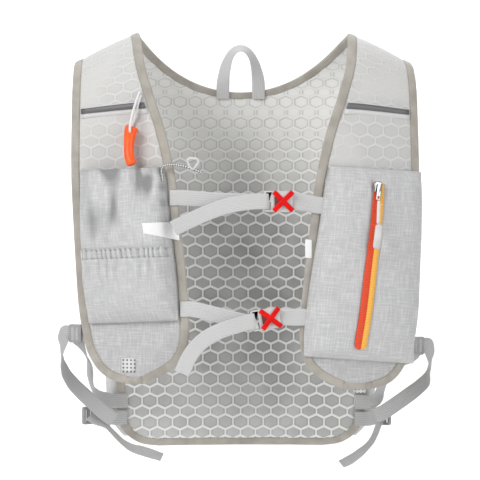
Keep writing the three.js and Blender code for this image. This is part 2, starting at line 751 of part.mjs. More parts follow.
function toGeometry(body) {
  const mesh = body.getMesh();
  const geometry = new THREE.BufferGeometry();
  geometry.setAttribute("position", new THREE.BufferAttribute(mesh.vertProperties, 3));
  geometry.setIndex(new THREE.BufferAttribute(mesh.triVerts, 1));
  geometry.computeVertexNormals();
  return geometry;
}

// A plate cut from a flat outline, centred on its own thickness.
function plate(outline, holes, wall, bevel = 0) {
  const shape = new THREE.Shape(outline);
  shape.holes = holes.map((hole) => new THREE.Path(hole));
  const geometry = new THREE.ExtrudeGeometry(shape, {
    depth: wall - 2 * bevel,
    bevelEnabled: bevel > 0,
    bevelThickness: bevel,
    bevelSize: bevel,
    bevelOffset: -bevel,
    bevelSegments: 1,
    curveSegments: 4,
  });
  return geometry.translate(0, 0, bevel - wall / 2);
}

function rectangle(x, y, width, height, corner = 0) {
  const [w, h] = [width / 2 - corner, height / 2 - corner];
  const centres = [[w, h], [-w, h], [-w, -h], [w, -h]];
  const turns = corner ? [0, 0.5, 1] : [0];
  return centres.flatMap(([cx, cy], quarter) =>
    turns.map((turn) => {
      const angle = ((quarter + turn) * Math.PI) / 2;
      return new THREE.Vector2(
        x + cx + corner * Math.cos(angle),
        y + cy + corner * Math.sin(angle),
      );
    }),
  );
}

// Sets a plate at a point, its own X along one direction and its face towards another.
function seat(mesh, point, along, facing) {
  const z = facing.clone().normalize();
  const y = z.clone().cross(along).normalize();
  const x = y.clone().cross(z);
  mesh.quaternion.setFromRotationMatrix(new THREE.Matrix4().makeBasis(x, y, z));
  mesh.position.copy(point);
  return mesh;
}

// Webbing along a smooth line; each row says where it runs and which way its face looks.
function webbing(rows, { width = WEBBING_WIDTH, wall = WEBBING_WALL, steps = 3 * rows.length } = {}) {
  const line = new THREE.CatmullRomCurve3(rows.map((row) => row.at), false, "centripetal");
  const grid = Array.from({ length: steps + 1 }, (_, i) => {
    const t = i / steps;
    const index = Math.min(Math.floor(t * (rows.length - 1)), rows.length - 2);
    const share = t * (rows.length - 1) - index;
    const face = rows[index].face.clone().lerp(rows[index + 1].face, share);
    const wide = THREE.MathUtils.lerp(rows[index].wide ?? 1, rows[index + 1].wide ?? 1, share);
    const across = line.getTangent(t).cross(face).normalize();
    return [-0.5, 0.5].map((side) =>
      line.getPoint(t).addScaledVector(across, side * width * wide),
    );
  });
  return cloth(wall, grid);
}

const FORWARD = new THREE.Vector3(0, -1, 0);
const vector = (x, y, z) => new THREE.Vector3(x, y, z);

// Zip slider with its tongue, a cord and a moulded grip.
function zipPull() {
  const slider = zipPoint(0, 0, ZIP_LIFT + ZIP_WALL / 2 + FIT_GAP + SLIDER_WALL);
  const down = zipPoint(0.1, 0, ZIP_LIFT).sub(zipPoint(0, 0, ZIP_LIFT)).normalize();
  const outward = bodyFrame(slider.x, -0.5 * FRONT_RUN).outward;
  const body = rectangle(0, 0, 11, 8.5, 2);
  const start = slider.clone().addScaledVector(down, 4);
  seat(add("zip_slider", plate(body, [], SLIDER_WALL, 0.6), CHROME), start, down, outward);
  const at = (distance, lift) =>
    slider.clone().addScaledVector(down, distance).addScaledVector(outward, lift);
  const tongue = plate(rectangle(0, 0, 16, 4.4, 1.4), [rectangle(5.2, 0, 2.6, 2.2)], 1.4);
  seat(add("zip_tongue", tongue, CHROME), at(9, SLIDER_WALL / 2 + FIT_GAP), down, outward);
  const rows = [17.3, 26, 34, 41].map((distance, i) => ({
    at: at(distance, 2.6 - 0.2 * i),
    face: outward,
  }));
  add("zip_pull_cord", webbing(rows, { width: 3.4, wall: 2, steps: 4 }), WHITE);
  const grip = plate(rectangle(0, 0, 24, 7.4, 2.6), [], 4.4, 1.2);
  seat(add("zip_grip", grip, PLASTIC_GREY), at(41 + FIT_GAP + 12, 2), down, outward);
}
zipPull();

// Tape and reflective band across each shoulder strap, from binding to binding.
const BAND_TOP = 0.318;
const TAPE_HEIGHT = 12;
const BAND_HEIGHT = 6;

function strapBand(half, wall, lift, offset, height) {
  const top = -BAND_TOP * FRONT_RUN - offset;
  const rows = [top, top - height].map((s) => {
    const inner = edgeOut(half, "neckEdge", s) + BINDING_WIDTH + 1.5;
    const outer = edgeOut(half, "armEdge", s) - BINDING_WIDTH - 1.5;
    return between(new THREE.Vector2(inner, s), new THREE.Vector2(outer, s), 6);
  });
  return cloth(wall, rows.map((row) => row.map((p) => place(half, p.x, p.y, lift))));
}

const TAPE_LIFT = PANEL_WALL / 2 + SEAM_GAP + TAPE_WALL / 2;
[["right", RIGHT], ["left", LEFT]].forEach(([side, half]) => {
  add("strap_tape_" + side, strapBand(half, TAPE_WALL, TAPE_LIFT, 0, TAPE_HEIGHT), CLOTH_GREY);
  const lift = TAPE_LIFT + TAPE_WALL / 2 + SEAM_GAP + 0.3;
  add("reflective_strip_" + side, strapBand(half, 0.6, lift, 1, BAND_HEIGHT), REFLECTIVE);
});

// Grab loop of webbing at the back of the neck, with its feet sewn to the wearer's side of the binding.
const LOOP_HALF = 18.5;
const LOOP_RISE = 45;
function grabLoop() {
  const lift = -(BINDING_WALL / 2 + CLOTH_GAP + SEAM_GAP + WEBBING_WALL / 2);
  const foot = onBody(LOOP_HALF, NECK_DIP + BINDING_WIDTH - 1, lift);
  const edge = onBody(LOOP_HALF, NECK_DIP - 1, lift);
  const shares = [
    { out: 0.98, rise: 0.22, roll: 0.1 },
    { out: 0.88, rise: 0.5, roll: 0.5 },
    { out: 0.66, rise: 0.78, roll: 0.8 },
    { out: 0.34, rise: 0.95, roll: 1 },
    { out: 0, rise: 1, roll: 1 },
  ];
  const leg = shares.map(({ out, rise, roll }) => ({
    at: vector(out * LOOP_HALF, edge.y, edge.z + rise * LOOP_RISE),
    face: vector(1.4 * roll * out, -1, 1.5 * roll).normalize(),
  }));
  const half = [{ at: foot, face: FORWARD }, { at: edge, face: FORWARD }, ...leg];
  const mirrored = half.slice(0, -1).map(({ at, face }) => ({
    at: vector(-at.x, at.y, at.z),
    face: vector(-face.x, face.y, face.z),
  }));
  return webbing([...mirrored, ...half.reverse()], { width: 13.5, steps: 28 });
}
add("grab_loop", grabLoop(), WEBBING_GREY);

// Chest straps: webbing from the right panel round the buckle's bar and back as a free tail,
// and a ribbed elastic end on the left panel.
function buckleOutline() {
  return rectangle(0, 0, BUCKLE_LENGTH, BUCKLE_HEIGHT, 2.5);
}

function crossOutline() {
  const [w, h] = [CROSS_LENGTH / 2, BUCKLE_HEIGHT / 2];
  const a = CROSS_ARM;
  const rim = 0.28 * a;
  return [
    [w, h], [w - a, h], [0, rim + 0.3 * a], [a - w, h], [-w, h], [-w, h - a], [-rim - 0.2 * a, 0],
    [-w, a - h], [-w, -h], [a - w, -h], [0, -rim - 0.3 * a], [w - a, -h], [w, -h], [w, a - h],
    [rim + 0.2 * a, 0], [w, h - a],
  ].map(([x, y]) => new THREE.Vector2(x, y));
}

function chestStrap(level, { along, buckle, fall, tilt, tail }) {
  const s = -along * FRONT_RUN;
  const angle = THREE.MathUtils.degToRad(tilt);
  const right = vector(Math.cos(angle), 0, Math.sin(angle));
  const up = vector(-Math.sin(angle), 0, Math.cos(angle));
  const centre = vector(buckle, -FRONT_DEPTH - CHEST_REACH, -fall);
  const at = (x, y, z = 0) =>
    centre.clone().addScaledVector(right, x).addScaledVector(up, z).addScaledVector(FORWARD, y);
  const left = -BUCKLE_LENGTH / 2;
  const slot = 4.6;
  const bar = 3;
  const slotHole = rectangle(left + bar + slot / 2, 0, slot, BUCKLE_HEIGHT - 3.4);
  const body = plate(buckleOutline(), [slotHole], BUCKLE_WALL);
  seat(add("buckle_body_" + level, body, PLASTIC_GREY), centre, right, FORWARD);
  const cross = plate(crossOutline(), [], CROSS_WALL, 0.7);
  const front = BUCKLE_WALL / 2 + FIT_GAP + CROSS_WALL / 2;
  const crossAt = at(BUCKLE_LENGTH / 2 - CROSS_LENGTH / 2 + 1, front);
  seat(add("buckle_cross_" + level, cross, RED), crossAt, right, FORWARD);

  const sewn = BINDING_WALL / 2 + CLOTH_GAP + WEBBING_WALL / 2;
  const rim = (half, inside) => edgeOut(half, "neckEdge", s) + inside;
  const behind = BUCKLE_WALL / 2 + FIT_GAP + WEBBING_WALL / 2;
  const strapStart = [
    { at: place(RIGHT, rim(RIGHT, BINDING_WIDTH - POCKET_WALL - CLOTH_GAP), s, sewn), face: FORWARD },
    { at: place(RIGHT, rim(RIGHT, BINDING_WIDTH / 2), s, sewn), face: FORWARD },
    { at: place(RIGHT, rim(RIGHT, -4), s, sewn), face: FORWARD },
  ];
  const reach = strapStart[2].at.distanceTo(at(left, -behind));
  const run = strapStart[2].at.clone().lerp(at(left, -behind), 0.5);
  run.z -= 0.012 * reach;
  const hang = tail.map(({ back, fall: drop, ahead }, i) => ({
    at: at(left, behind).add(vector(-back, -ahead, -drop).multiplyScalar(CHEST_TAIL)),
    face: vector(0.12 * Math.sin(i), -1, 0.1).normalize(),
  }));
  const strap = [
    ...strapStart,
    { at: run, face: FORWARD },
    { at: at(left - 3, -behind), face: FORWARD },
    { at: at(left + bar, -behind), face: FORWARD },
    { at: at(left + bar + slot / 2, 0), face: right.clone() },
    { at: at(left + bar, behind), face: FORWARD.clone().negate() },
    ...hang.map((row) => ({ at: row.at, face: row.face.negate() })),
  ];
  add("chest_strap_" + level, webbing(strap, { steps: 34 }), WEBBING_GREY);

  const thicker = (ELASTIC_WALL - WEBBING_WALL) / 2;
  const share = THREE.MathUtils.mapLinear(along, ZIP_TOP.inner, ZIP_BOTTOM.inner, 0, 1);
  const seam = THREE.MathUtils.lerp(ZIP_INSET_TOP, ZIP_INSET_BOTTOM, share) - POCKET_WALL - CLOTH_GAP;
  const elastic = [
    { at: at(BUCKLE_LENGTH / 2 - 6, -behind - thicker), face: FORWARD },
    { at: at(BUCKLE_LENGTH / 2 + 3, -behind - thicker), face: FORWARD },
    { at: place(LEFT, rim(LEFT, -3), s, sewn + thicker), face: FORWARD },
    { at: place(LEFT, rim(LEFT, seam), s, sewn + thicker), face: FORWARD },
  ];
  const ribbed = { width: ELASTIC_WIDTH, wall: ELASTIC_WALL, steps: 9 };
  add("chest_elastic_" + level, webbing(elastic, ribbed), WEBBING_GREY);
}
Object.entries(CHEST).forEach(([level, row]) => chestStrap(level, row));

// Side straps.
function lockPlate() {
  const body = toManifold(plate(rectangle(0, 0, LOCK_WIDTH, LOCK_HEIGHT, 2), [], LOCK_WALL));
  const slots = [-1, 1].map((side) =>
    toManifold(plate(rectangle(side * LOCK_WIDTH * 0.2, 0, 2.8, LOCK_HEIGHT - 5), [], 2 * LOCK_WALL)),
  );
  return toGeometry(body.subtract(slots[0]).subtract(slots[1]));
}

function sideStraps(side, half) {
  const { lockAlong, tapeFace, seamAlong, rearLockOut, rearLockAhead } = SIDE[side];
  const out = half.sign;
  const lockS = -lockAlong * FRONT_RUN;
  const edge = edgeOut(half, "armEdge", lockS);
  const frame = bodyFrame(out * edge, lockS);
  const beside = frame.across.clone().multiplyScalar(out);
  const lockAt = frame.point.clone().addScaledVector(beside, LOCK_WIDTH / 2 + 1.8);
  seat(add("side_lock_front_" + side, lockPlate(), LOCK_GREY), lockAt, beside, frame.outward);

  const lift = tapeFace * (BINDING_WALL / 2 + CLOTH_GAP + TAPE_WALL / 2);
  const tapeAt = (distance) =>
    frame.point.clone().addScaledVector(beside, distance).addScaledVector(frame.outward, lift);
  const tape = [-6, -1, 4].map((distance) => ({ at: tapeAt(distance), face: frame.outward }));
  add("lock_tape_front_" + side, webbing(tape, { width: 15, wall: TAPE_WALL, steps: 3 }), WHITE);

  const inner = -(BINDING_WALL / 2 + CLOTH_GAP + WEBBING_WALL);
  const seamOut = read(
    BACK_OUTER.map((row) => ({ along: row.along, out: row.out * HALF_WIDTH })),
    "along",
    "out",
    seamAlong,
  );
  const seam = (share, s) => onBody(out * (seamOut - BINDING_WIDTH * share), s, inner);
  const inward = (s) => bodyFrame(out * seamOut, s).outward.negate();
  const seamS = seamAlong * BACK_RUN;
  const step = WEBBING_WIDTH + 1.5;
  const rearSeam = seam(0, seamS + step);
  const rearLock = rearSeam.clone().add(vector(out * rearLockOut, -rearLockAhead, 4));
  const toLock = vector(out * 0.75, -0.66, 0).normalize();
  const lockFace = vector(-out * 0.66, -0.75, 0).normalize();
  seat(add("side_lock_rear_" + side, lockPlate(), LOCK_GREY), rearLock, toLock, lockFace);

  const rearTape = [
    { at: seam(1, seamS + step), face: inward(seamS + step) },
    { at: seam(0.4, seamS + step), face: inward(seamS + step) },
    { at: rearSeam.clone().add(vector(out * 5, -1.5, 0.4)), face: FORWARD },
    {
      at: rearLock.clone().addScaledVector(toLock, -LOCK_WIDTH / 2 - WEBBING_WALL - 2 * FIT_GAP),
      face: lockFace,
    },
  ];
  add("lock_tape_rear_" + side, webbing(rearTape, { steps: 8 }), STRAP_GREY);

  const turned = (degrees) => {
    const turn = THREE.MathUtils.degToRad(degrees);
    return vector(out * Math.sin(turn), -Math.cos(turn), 0);
  };
  const strapSeam = seam(0, seamS);
  const backed = tapeFace < 0 ? BINDING_WALL / 2 + CLOTH_GAP + TAPE_WALL : LOCK_WALL / 2;
  const behind = backed + FIT_GAP + WEBBING_WALL / 2;
  const under = lockAt.clone().addScaledVector(frame.outward, -behind);
  const strap = [
    { at: seam(1, seamS), face: inward(seamS) },
    { at: seam(0.4, seamS), face: inward(seamS) },
    { at: strapSeam.clone().add(vector(out * 8, -3, 0.6)), face: FORWARD },
    ...SIDE[side].strap.map((row) => ({
      at: strapSeam.clone().lerp(under, row.along).add(vector(out * row.out, -row.ahead, row.rise)),
      face: turned(row.turn),
    })),
    { at: under.clone().add(vector(0, 3, -9)), face: frame.outward },
    { at: under, face: frame.outward },
  ];
  add("side_strap_" + side, webbing(strap, { steps: 20 }), STRAP_GREY);

  const start = lockAt.clone().addScaledVector(beside, LOCK_WIDTH / 2 + FIT_GAP);
  const bow = SIDE[side].bow.map((row) => ({
    at: start
      .clone()
      .lerp(rearLock, row.along)
      .add(vector(out * row.out * STRAP_BOW, -row.ahead * STRAP_BOW, 0)),
    face: turned(row.turn),
  }));
  const straight = start.clone().addScaledVector(beside, 4.5);
  const bowRows = [
    { at: start, face: frame.outward, wide: 0.84 },
    { at: straight, face: frame.outward, wide: 0.9 },
    ...bow,
  ];
  add("side_tail_front_" + side, webbing(bowRows, { steps: 24 }), STRAP_GREY);

  const faceOff = LOCK_WALL / 2 + FIT_GAP + WEBBING_WALL / 2;
  const threaded = rearLock.clone().addScaledVector(lockFace, faceOff);
  const free = SIDE[side].tail.map((row) => ({
    at: rearLock.clone().add(
      vector(-out * row.inward * SIDE_TAIL, -row.ahead * SIDE_TAIL, -row.fall * SIDE_TAIL),
    ),
    face: vector(-out * 0.7, -row.shown, 0.7).normalize(),
  }));
  const freeRows = [{ at: threaded, face: lockFace }, ...free];
  add("side_tail_rear_" + side, webbing(freeRows, { steps: 18 }), STRAP_GREY);
}
sideStraps("right", RIGHT);
sideStraps("left", LEFT);

// Small fold-over tabs.
function labelTab(half, along, fromEdge, toEdge, lifts, height, drop) {
  const s = -along * FRONT_RUN;
  const start = edgeOut(half, "neckEdge", s) + fromEdge;
  const end = edgeOut(half, "neckEdge", s) + toEdge;
  const rows = lifts.map((lift, i) => {
    const share = i / (lifts.length - 1);
    const out = THREE.MathUtils.lerp(start, end, share);
    return [0, 1].map((down) => place(half, out, s - down * height + share * drop, lift));
  });
  return cloth(TAPE_WALL, rows);
}
const ON_BINDING = BINDING_WALL / 2 + CLOTH_GAP + TAPE_WALL / 2;
const TAB_SHARES = [0.36, 0.42, 0.48];
const tabColumns = foldShares.slice(0, 6);
const overPocket = standOff(
  pocketGrid(bottlePocket, tabColumns, TAB_SHARES),
  () => POCKET_WALL / 2 + CLOTH_GAP + TAPE_WALL / 2,
);
const onEdge = TAB_SHARES.map((v) => {
  const s = -FRONT_RUN * THREE.MathUtils.lerp(BOTTLE_TOP.inner, BOTTLE_BOTTOM.inner, v);
  return [2, BINDING_WIDTH - 2].map((inside) =>
    place(RIGHT, edgeOut(RIGHT, "neckEdge", s) + inside, s, ON_BINDING),
  );
});
const tabRows = overPocket.map((row, r) => [...onEdge[r], ...row]);
add("label_tab_right", cloth(TAPE_WALL, tabRows), WHITE);
add("label_tab_left", labelTab(LEFT, 0.61, -2, 4.5, [ON_BINDING, ON_BINDING], 18, 4), WHITE);

function drainTab(half, along, lift) {
  const s = -along * FRONT_RUN;
  const middle = HALF_WIDTH * 0.655;
  const rows = [0, 7, 14].map((down) =>
    [middle - 6.5, middle + 6.5].map((out) => place(half, out, s - down, lift)),
  );
  return cloth(TAPE_WALL, rows);
}
add("drain_tab_right", drainTab(RIGHT, 0.936, PANEL_WALL / 2 + CLOTH_GAP + TAPE_WALL / 2), WHITE);
add("drain_tab_left", drainTab(LEFT, 0.992, -ON_BINDING), WHITE);

// Cords: round section drawn along a route.
function cord(route, diameter, steps) {
  const section = new THREE.Shape(
    Array.from({ length: 8 }, (_, i) => {
      const angle = (i * Math.PI) / 4;
      return new THREE.Vector2(Math.cos(angle), Math.sin(angle)).multiplyScalar(diameter / 2);
    }),
  );
  const line = new THREE.CatmullRomCurve3(route.map((p) => vector(...p)), false, "centripetal");
  return new THREE.ExtrudeGeometry(section, { steps, extrudePath: line, bevelEnabled: false });
}
add("whistle_cord", cord(WHISTLE_CORD_ROUTE, CORD_DIAMETER, 20), WHITE);
add("drawcord", cord(DRAWCORD_ROUTE, CORD_DIAMETER, 13), WHITE);

// Triangular pull ring that the drawcord runs through.
function cordPuller() {
  const ring = [[-6, -4.5], [5.5, -5.5], [1, 5.5]].map(([x, y]) => new THREE.Vector2(x, y));
  const hole = ring.map((p) => p.clone().multiplyScalar(0.5));
  const [x, y, z] = DRAWCORD_ROUTE[7];
  const mesh = add("cord_puller", plate(ring, [hole], 2), WHITE);
  mesh.position.set(x - 1, y + CORD_DIAMETER / 2 + FIT_GAP + 1, z + 5);
  mesh.rotation.x = Math.PI / 2;
}
cordPuller();

// Whistle: a bent tube with a mouth at its lower end, a sound slot and an eye for its cord.
function whistle() {
  const round = (radius, sides) =>
    new THREE.Shape(
      Array.from({ length: sides }, (_, i) => {
        const angle = (i * 2 * Math.PI) / sides;
        return new THREE.Vector2(Math.cos(angle), Math.sin(angle)).multiplyScalar(radius);
      }),
    );
  const line = new THREE.CatmullRomCurve3(WHISTLE_LINE.map((p) => vector(...p)));
  const tube = new THREE.ExtrudeGeometry(round(WHISTLE_DIAMETER / 2, 12), {
    steps: 9,
    extrudePath: line,
    bevelEnabled: false,
  });
  const end = line.getPoint(1);
  const away = line.getTangent(1);
  const mouth = new THREE.CylinderGeometry(3.6, 3.6, 2 * WHISTLE_MOUTH, 10);
  mouth.applyQuaternion(
    new THREE.Quaternion().setFromUnitVectors(new THREE.Vector3(0, 1, 0), away),
  );
  mouth.translate(end.x, end.y, end.z);
  const eyeRadius = CORD_DIAMETER / 2 + 3.4 * FIT_GAP;
  const [x, , z] = WHISTLE_CORD_ROUTE[7];
  const eye = new THREE.CylinderGeometry(eyeRadius, eyeRadius, 3 * WHISTLE_DIAMETER, 12);
  eye.translate(x, line.getPoint(0.1).y, z);
  return toGeometry(toManifold(tube).subtract(toManifold(mouth)).subtract(toManifold(eye)));
}
add("whistle", whistle(), ORANGE);

export default vest;
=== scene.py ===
# A running hydration vest in its worn form, in metres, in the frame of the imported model.
# The vest faces -Y; right and left are the wearer's, so the right side is at -X.
import math

import bmesh
import bpy
from mathutils import Matrix, Vector, noise


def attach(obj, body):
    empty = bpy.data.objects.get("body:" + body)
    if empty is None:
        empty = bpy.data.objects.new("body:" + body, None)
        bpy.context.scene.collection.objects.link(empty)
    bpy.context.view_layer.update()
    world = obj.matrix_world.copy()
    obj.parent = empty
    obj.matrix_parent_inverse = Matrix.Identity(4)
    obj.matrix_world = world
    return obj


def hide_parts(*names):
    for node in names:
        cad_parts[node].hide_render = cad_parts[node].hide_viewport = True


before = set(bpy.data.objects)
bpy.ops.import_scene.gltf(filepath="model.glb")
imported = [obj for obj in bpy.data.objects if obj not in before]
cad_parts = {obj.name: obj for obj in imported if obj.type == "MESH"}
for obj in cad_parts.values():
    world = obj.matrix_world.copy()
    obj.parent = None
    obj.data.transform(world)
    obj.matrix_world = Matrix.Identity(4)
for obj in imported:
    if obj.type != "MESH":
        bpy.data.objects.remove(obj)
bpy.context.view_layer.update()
MM = 0.001

# Camera: 2.2 m in front of the vest, level with its middle and two degrees to the wearer's right.
camera_data = bpy.data.cameras.new("camera")
camera_data.sensor_width = 36
camera_data.lens = 165
camera = bpy.data.objects.new("camera", camera_data)
bpy.context.scene.collection.objects.link(camera)
aim = Vector((-0.0032, 0, -0.206))
camera.location = (-0.080, -2.199, -0.206)
camera.rotation_euler = (aim - camera.location).to_track_quat("-Z", "Y").to_euler()
bpy.context.scene.camera = camera
bpy.context.scene.view_settings.view_transform = "Standard"

# Room: a pale floor that curves up into a wall behind the vest, made as one swept sheet.
floor_z = -0.85
floor_front = -3.6
floor_length = 5.0
cove_radius = 1.2
wall_y = floor_front + floor_length + cove_radius
room = bmesh.new()
front_edge = room.edges.new([room.verts.new((x, floor_front, floor_z)) for x in (-5, 5)])
run_back = bmesh.ops.extrude_edge_only(room, edges=[front_edge])["geom"]
bmesh.ops.translate(
    room, verts=[part for part in run_back if isinstance(part, bmesh.types.BMVert)], vec=(0, floor_length, 0)
)
cove = bmesh.ops.spin(
    room,
    geom=run_back,
    cent=(0, floor_front + floor_length, floor_z + cove_radius),
    axis=(1, 0, 0),
    dvec=(0, 0, 0),
    angle=math.pi / 2,
    steps=16,
)["geom_last"]
cove_edges = [part for part in cove if isinstance(part, bmesh.types.BMEdge)]
wall = bmesh.ops.extrude_edge_only(room, edges=cove_edges)["geom"]
wall_top = [part for part in wall if isinstance(part, bmesh.types.BMVert)]
bmesh.ops.translate(room, verts=wall_top, vec=(0, 0, 2.8))
bmesh.ops.recalc_face_normals(room, faces=room.faces)
room_mesh = bpy.data.meshes.new("backdrop")
room.to_mesh(room_mesh)
room.free()
for polygon in room_mesh.polygons:
    polygon.use_smooth = True
backdrop = bpy.data.objects.new("backdrop", room_mesh)
bpy.context.scene.collection.objects.link(backdrop)
paper = bpy.data.materials.new("backdrop_paper")
paper.use_nodes = True
paper.node_tree.nodes["Principled BSDF"].inputs["Base Color"].default_value = (0.93, 0.93, 0.93, 1)
paper.node_tree.nodes["Principled BSDF"].inputs["Roughness"].default_value = 0.9
room_mesh.materials.append(paper)

# Light: one large soft box above on the left, a weaker one on the right, one above, one that whitens the wall
# behind, and pale light all round.
for name, place, size, power in (
    ("key_light", (-1.6, -1.7, 1.0), 1.1, 39),
    ("fill_light", (1.7, -1.8, 0.2), 1.4, 17),
    ("top_light", (0.1, 0.3, 1.5), 1.2, 7),
    ("wall_light", (0, 1.5, 1.7), 1.6, 36),
):
    light_data = bpy.data.lights.new(name, "AREA")
    light_data.size = size
    light_data.energy = power
    light = bpy.data.objects.new(name, light_data)
    light.location = place
    target = Vector((0, wall_y, 0)) if name == "wall_light" else Vector((0, 0, -0.2))
    light.rotation_euler = (target - light.location).to_track_quat("-Z", "Y").to_euler()
    bpy.context.scene.collection.objects.link(light)
world = bpy.data.worlds.new("pale_room")
world.use_nodes = True
world.node_tree.nodes["Background"].inputs["Color"].default_value = (1, 1, 1, 1)
world.node_tree.nodes["Background"].inputs["Strength"].default_value = 0.5
bpy.context.scene.world = world


# Cords: a white braided loop for the whistle, and a checked elastic drawcord at the bottle pocket's mouth.
# Each is a round tube swept along its own route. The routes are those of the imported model, in millimetres.
def blend(a, b, share):
    return a + (b - a) * share


def ease(value, low, high):
    share = min(max((value - low) / (high - low), 0), 1)
    return share * share * (3 - 2 * share)


def smooth_line(points, steps):
    points = [Vector(point) for point in points]
    last = len(points) - 1
    line = []
    for k in range(last):
        a, b, c, d = (points[min(max(k + i, 0), last)] for i in (-1, 0, 1, 2))
        for i in range(steps):
            t = i / steps
            bend = (2 * a - 5 * b + 4 * c - d) * t**2 + (3 * b - a - 3 * c + d) * t**3
            line.append((2 * b + (c - a) * t + bend) / 2)
    line.append(points[last])
    return line


def line_length(line):
    return sum((b - a).length for a, b in zip(line, line[1:]))


def lay_grid(bm, columns, rows, place, measure):
    made = bmesh.ops.create_grid(bm, x_segments=columns, y_segments=rows, size=0.5)["verts"]
    shares = {vert: (vert.co.x + 0.5, vert.co.y + 0.5) for vert in made}
    marks = bm.loops.layers.uv.verify()
    for face in {face for vert in made for face in vert.link_faces}:
        for loop in face.loops:
            loop[marks].uv = measure(*shares[loop.vert])
    for vert, (u, v) in shares.items():
        vert.co = place(u, v) * MM


def close_tube(bm):
    bmesh.ops.remove_doubles(bm, verts=bm.verts, dist=1e-6)
    bmesh.ops.holes_fill(bm, edges=[edge for edge in bm.edges if edge.is_boundary], sides=0)
    bmesh.ops.recalc_face_normals(bm, faces=bm.faces)


def tube(bm, line, radius_at, side, sides):
    rows = len(line) - 1
    length = line_length(line)

    def place(u, v):
        k = round(v * rows)
        ahead = (line[min(k + 1, rows)] - line[max(k - 1, 0)]).normalized()
        across = side.cross(ahead).normalized()
        turn = 2 * math.pi * u
        round_it = across * math.cos(turn) + ahead.cross(across) * math.sin(turn)
        return line[k] + round_it * radius_at(k / rows)

    lay_grid(bm, sides, rows, place, lambda u, v: (2 * math.pi * u * radius_at(0.5), v * length))
    close_tube(bm)


def finished_piece(name, bm, material, nodes=()):
    mesh = bpy.data.meshes.new(name)
    bm.to_mesh(mesh)
    bm.free()
    for polygon in mesh.polygons:
        polygon.use_smooth = True
    mesh.materials.append(material)
    piece = bpy.data.objects.new(name, mesh)
    bpy.context.scene.collection.objects.link(piece)
    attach(piece, "root")
    if nodes:
        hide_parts(*nodes)
    return piece


def start_material(name, colour, roughness, **more):
    material = bpy.data.materials.new(name)
    material.use_nodes = True
    shader = material.node_tree.nodes["Principled BSDF"]
    shader.inputs["Base Color"].default_value = (*colour, 1)
    shader.inputs["Roughness"].default_value = roughness
    for socket, value in more.items():
        shader.inputs[socket.replace("_", " ")].default_value = value
    return material, material.node_tree, shader


def add_node(tree, kind, *inputs, **settings):
    item = tree.nodes.new(kind)
    for key, value in settings.items():
        setattr(item, key, value)
    for socket, value in zip(item.inputs, inputs):
        if isinstance(value, bpy.types.NodeSocket):
            tree.links.new(value, socket)
        elif value is not None:
            socket.default_value = value
    return item.outputs[0]


def sum_of(tree, kind, *values):
    return add_node(tree, "ShaderNodeMath", *values, operation=kind)


def between(tree, value, low, high, to_low=0, to_high=1):
    return add_node(
        tree,
        "ShaderNodeMapRange",
        value,
        low,
        high,
        to_low,
        to_high,
        interpolation_type="SMOOTHSTEP",
    )


def mix_colours(tree, share, first, second):
    item = tree.nodes.new("ShaderNodeMix")
    item.data_type = "RGBA"
    for socket, value in ((0, share), (6, first), (7, second)):
        if isinstance(value, bpy.types.NodeSocket):
            tree.links.new(value, item.inputs[socket])
        elif socket == 0:
            item.inputs[0].default_value = value
        else:
            item.inputs[socket].default_value = (*value, 1)
    return item.outputs[2]


def raise_surface(tree, shader, height, strength, depth):
    bump = tree.nodes.new("ShaderNodeBump")
    bump.inputs["Strength"].default_value = strength
    bump.inputs["Distance"].default_value = depth * MM
    tree.links.new(height, bump.inputs["Height"])
    tree.links.new(bump.outputs[0], shader.inputs["Normal"])


def cord_braid(name, light, dark, pitch):
    material, tree, shader = start_material(name, light, 0.75, Sheen_Weight=0.25)
    places = add_node(tree, "ShaderNodeUVMap")
    split = tree.nodes.new("ShaderNodeSeparateXYZ")
    tree.links.new(places, split.inputs[0])
    down = sum_of(tree, "ADD", split.outputs[0], split.outputs[1])
    up = sum_of(tree, "SUBTRACT", split.outputs[0], split.outputs[1])
    braid = add_node(tree, "ShaderNodeCombineXYZ", down, up, 0.0)
    check = tree.nodes.new("ShaderNodeTexChecker")
    tree.links.new(braid, check.inputs["Vector"])
    check.inputs["Color1"].default_value = (*light, 1)
    check.inputs["Color2"].default_value = (*dark, 1)
    check.inputs["Scale"].default_value = 1 / pitch
    tree.links.new(check.outputs["Color"], shader.inputs["Base Color"])
    raise_surface(tree, shader, check.outputs["Fac"], 0.5, 0.3)
    return material


white_braid = cord_braid("white_braid", (0.82, 0.82, 0.82), (0.68, 0.68, 0.68), 1.1)
checked_braid = cord_braid("checked_braid", (0.72, 0.72, 0.72), (0.03, 0.03, 0.035), 1.9)
whistle_route = (
    (-102.6, -75.2, -63),
    (-104.8, -77.6, -69),
    (-107.4, -79.6, -77),
    (-109.8, -83, -86),
    (-111.4, -87.4, -94),
    (-111.8, -88.8, -99.8),
    (-111.8, -86.4, -102),
    (-111.8, -80.6, -102),
    (-111.8, -76.4, -101.6),
    (-111.4, -73.7, -99),
    (-109.4, -73.9, -93.6),
    (-107, -75.9, -86.5),
    (-105, -77, -78),
    (-102.8, -76.6, -70),
    (-101.4, -74.4, -66.2),
)
drawcord_route = (
    (-80.2, -86, -149.5),
    (-80.8, -85.8, -144.5),
    (-81.7, -85.4, -139.5),
    (-79.6, -86.4, -134.8),
    (-73.5, -88.5, -133.8),
    (-66, -90.5, -134.2),
    (-58, -91.8, -135.8),
    (-49, -92.2, -138.8),
    (-42.6, -92, -142),
)
cord_thickness = 2.4
whistle_line = smooth_line(whistle_route, 6)
whistle_loop = bmesh.new()
tube(whistle_loop, whistle_line, lambda share: cord_thickness / 2, Vector((1, 0, 0)), 12)
whistle_cord = finished_piece(
    "whistle_cord_braid", whistle_loop, white_braid, ["whistle_cord"]
)
drawcord_line = smooth_line(drawcord_route, 6)
drawcord_tube = bmesh.new()
